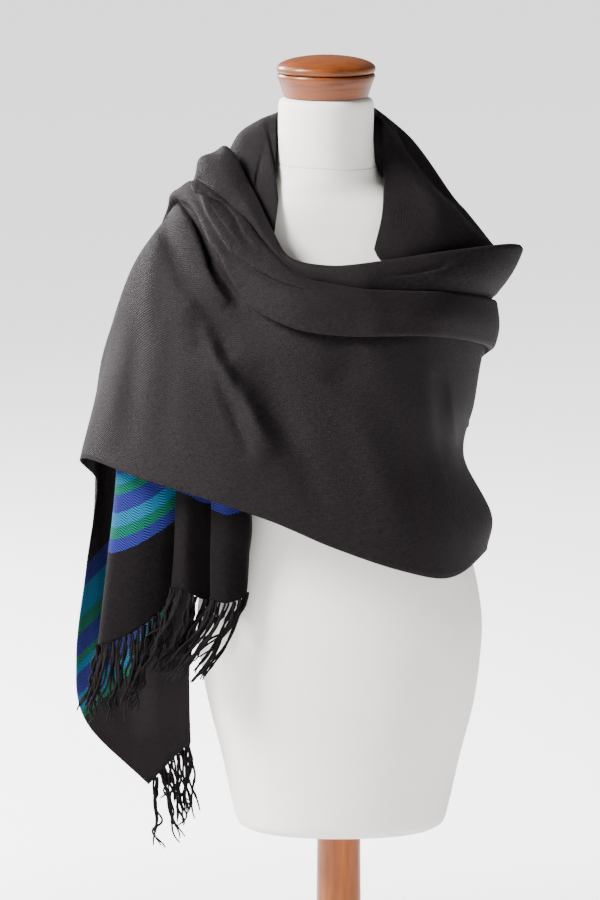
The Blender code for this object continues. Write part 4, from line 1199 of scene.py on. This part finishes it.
class SHAWL_OT_form(bpy.types.Operator):
    """Build the padded torso"""

    bl_idname = "shawl.form"
    bl_label = "Dress Form"

    def execute(self, context):
        """Make the smooth torso and neck under their jersey cover."""
        jersey = jersey_material(context.scene.shawl_colours)
        made = ringed_piece("form_cover", form_rings(around=144, parts=6), jersey)
        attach(made, "root")
        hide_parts("form_torso")
        return {"FINISHED"}


class SHAWL_OT_cap(bpy.types.Operator):
    """Build the turned neck cap"""

    bl_idname = "shawl.cap"
    bl_label = "Neck Cap"

    def execute(self, context):
        """Make the tapered block and the domed lid."""
        colour = tuple(context.scene.shawl_colours.cap)
        deep = tuple(0.4 * value for value in colour)
        wood = wood_material("cap_wood", colour, deep, (14.0, 14.0, 120.0), 0.16)
        foot, rim, low = CAP_FOOT_RADIUS, CAP_RIM_RADIUS, NECK_TOP + TOUCH_GAP
        block = [
            (foot - 1.5, low), (foot - 0.4, low + 0.5), (foot, low + 2), (foot + 4.5, low + 16),
            (rim - 0.5, CAP_GROOVE_Z - 4), (rim - 0.6, CAP_GROOVE_Z - 2), (rim - 1.6, CAP_GROOVE_Z - 0.6),
            (rim - 4, CAP_GROOVE_Z),
        ]
        lid_low = CAP_GROOVE_Z + TOUCH_GAP
        lid = [
            (rim - 4, lid_low), (rim - 1.6, lid_low + 0.5),
            (rim - 0.4, lid_low + 1.8), (rim, lid_low + 3.2),
        ]
        for turn in np.linspace(0, 0.97, 14):
            lid.append((rim * math.cos(turn * math.pi / 2),
                        LID_RIM_Z + (LID_TOP_Z - LID_RIM_Z) * math.sin(turn * math.pi / 2)))
        for name, profile, replaced in (
            ("cap_block_wood", block, "cap_block"),
            ("cap_lid_wood", lid, "cap_lid"),
        ):
            made = turned_piece(name, profile, NECK_LEAN, wood)
            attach(made, "root")
            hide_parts(replaced)
        return {"FINISHED"}


class SHAWL_OT_stand(bpy.types.Operator):
    """Build the pole and its base"""

    bl_idname = "shawl.stand"
    bl_label = "Stand"

    def execute(self, context):
        """Make the round pole and the turned base."""
        colour = tuple(context.scene.shawl_colours.pole)
        deep = tuple(0.55 * value for value in colour)
        wood = wood_material("pole_wood", colour, deep, (60.0, 60.0, 5.0), 0.1)
        low = BASE_HEIGHT + TOUCH_GAP
        heights = np.linspace(low, FORM_BOTTOM - TOUCH_GAP, 6)
        taper = (POLE_RADIUS_TOP - POLE_RADIUS_FOOT) / (heights[-1] - low)
        pole = [(POLE_RADIUS_FOOT + taper * (z - low), z) for z in heights]
        base = [
            (BASE_RADIUS - 2, 0.0), (BASE_RADIUS - 0.5, 0.5), (BASE_RADIUS, 2.0), (BASE_RADIUS, 10.0),
            (BASE_RADIUS - 1, 12.5), (BASE_RADIUS - 3, 14.0), (BASE_RADIUS - 12, 16.0),
            (BASE_RADIUS - 40, 19.0), (60.0, 22.0), (46.0, 23.6), (40.0, BASE_HEIGHT),
        ]
        for name, profile, replaced in (("pole_wood", pole, "pole"), ("base_wood", base, "base")):
            made = turned_piece(name, profile, 0.0, wood)
            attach(made, "root")
            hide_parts(replaced)
        return {"FINISHED"}


class SHAWL_OT_stage(bpy.types.Operator):
    """Build the floor, the lights and the camera"""

    bl_idname = "shawl.stage"
    bl_label = "Stage"

    def execute(self, context):
        """Make a pale floor, soft lights from the viewer's left, and the camera."""
        scene = context.scene
        mesh = bpy.data.meshes.new("floor")
        mesh.from_pydata([(-30, -30, 0), (30, -30, 0), (30, 60, 0), (-30, 60, 0)], [], [(0, 1, 2, 3)])
        material, tree, shader = blank_material("floor_white")
        shader.inputs["Base Color"].default_value = (0.92, 0.92, 0.92, 1.0)
        shader.inputs["Emission Color"].default_value = (1.0, 1.0, 1.0, 1.0)
        place = node(tree, "ShaderNodeTexCoord").outputs["Object"]
        away = node(tree, "ShaderNodeVectorMath", {0: place}, operation="LENGTH").outputs["Value"]
        reach = {0: away, 1: GLOW_START, 2: GLOW_FULL, 3: 0.0, 4: GLOW_POWER}
        glow = node(tree, "ShaderNodeMapRange", reach).outputs[0]
        tree.links.new(glow, shader.inputs["Emission Strength"])
        shader.inputs["Roughness"].default_value = 0.9
        mesh.materials.append(material)
        floor = bpy.data.objects.new("floor", mesh)
        scene.collection.objects.link(floor)
        world = bpy.data.worlds.new("studio")
        world.use_nodes = True
        world.node_tree.nodes["Background"].inputs[0].default_value = (1.0, 1.0, 1.0, 1.0)
        world.node_tree.nodes["Background"].inputs[1].default_value = ROOM_LIGHT
        scene.world = world
        for name, place, size, share in LAMPS:
            light = bpy.data.lights.new(name, "AREA")
            light.shape = "RECTANGLE"
            light.size, light.size_y = size
            light.energy = scene.shawl_sizes.light_power * share
            lamp = bpy.data.objects.new(name, light)
            lamp.location = place
            lamp.rotation_euler = (Vector(LAMP_AIM) - Vector(place)).to_track_quat("-Z", "Y").to_euler()
            scene.collection.objects.link(lamp)
        data = bpy.data.cameras.new("camera")
        data.sensor_fit = "VERTICAL"
        data.sensor_height = SENSOR
        data.sensor_width = SENSOR
        data.lens = VIEW_LENS
        camera = bpy.data.objects.new("camera", data)
        rise = math.radians(VIEW_RISE)
        ahead = Vector((0.0, math.cos(rise), -math.sin(rise)))
        camera.location = Vector(VIEW_TARGET) - ahead * VIEW_DISTANCE
        camera.rotation_euler = ahead.to_track_quat("-Z", "Y").to_euler()
        scene.collection.objects.link(camera)
        scene.camera = camera
        return {"FINISHED"}


class SHAWL_PT_panel(bpy.types.Panel):
    """Sizes, colours and build steps of the shawl"""

    bl_idname = "SHAWL_PT_panel"
    bl_label = "Shawl"
    bl_space_type = "VIEW_3D"
    bl_region_type = "UI"
    bl_category = "Shawl"

    def draw(self, context):
        """List the values and the build steps."""
        for group in (context.scene.shawl_sizes, context.scene.shawl_colours):
            for name in group.bl_rna.properties.keys():
                if name not in ("rna_type", "name"):
                    self.layout.prop(group, name)
        for step in STEPS:
            self.layout.operator(step.bl_idname)


STEPS = (SHAWL_OT_wrap, SHAWL_OT_pleated_end, SHAWL_OT_form, SHAWL_OT_cap, SHAWL_OT_stand, SHAWL_OT_stage)
CLASSES = (ShawlSizes, ShawlColours, *STEPS, SHAWL_PT_panel)


def register():
    """Register the classes and put their values on the scene."""
    for item in CLASSES:
        bpy.utils.register_class(item)
    bpy.types.Scene.shawl_sizes = bpy.props.PointerProperty(type=ShawlSizes)
    bpy.types.Scene.shawl_colours = bpy.props.PointerProperty(type=ShawlColours)


def unregister():
    """Take the values and the classes away again."""
    del bpy.types.Scene.shawl_colours
    del bpy.types.Scene.shawl_sizes
    for item in reversed(CLASSES):
        bpy.utils.unregister_class(item)


def main():
    """Build every piece in order."""
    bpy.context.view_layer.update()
    register()
    bpy.ops.shawl.wrap()
    bpy.ops.shawl.pleated_end()
    bpy.ops.shawl.form()
    bpy.ops.shawl.cap()
    bpy.ops.shawl.stand()
    bpy.ops.shawl.stage()
    bpy.context.view_layer.update()


if __name__ == "__main__":
    main()
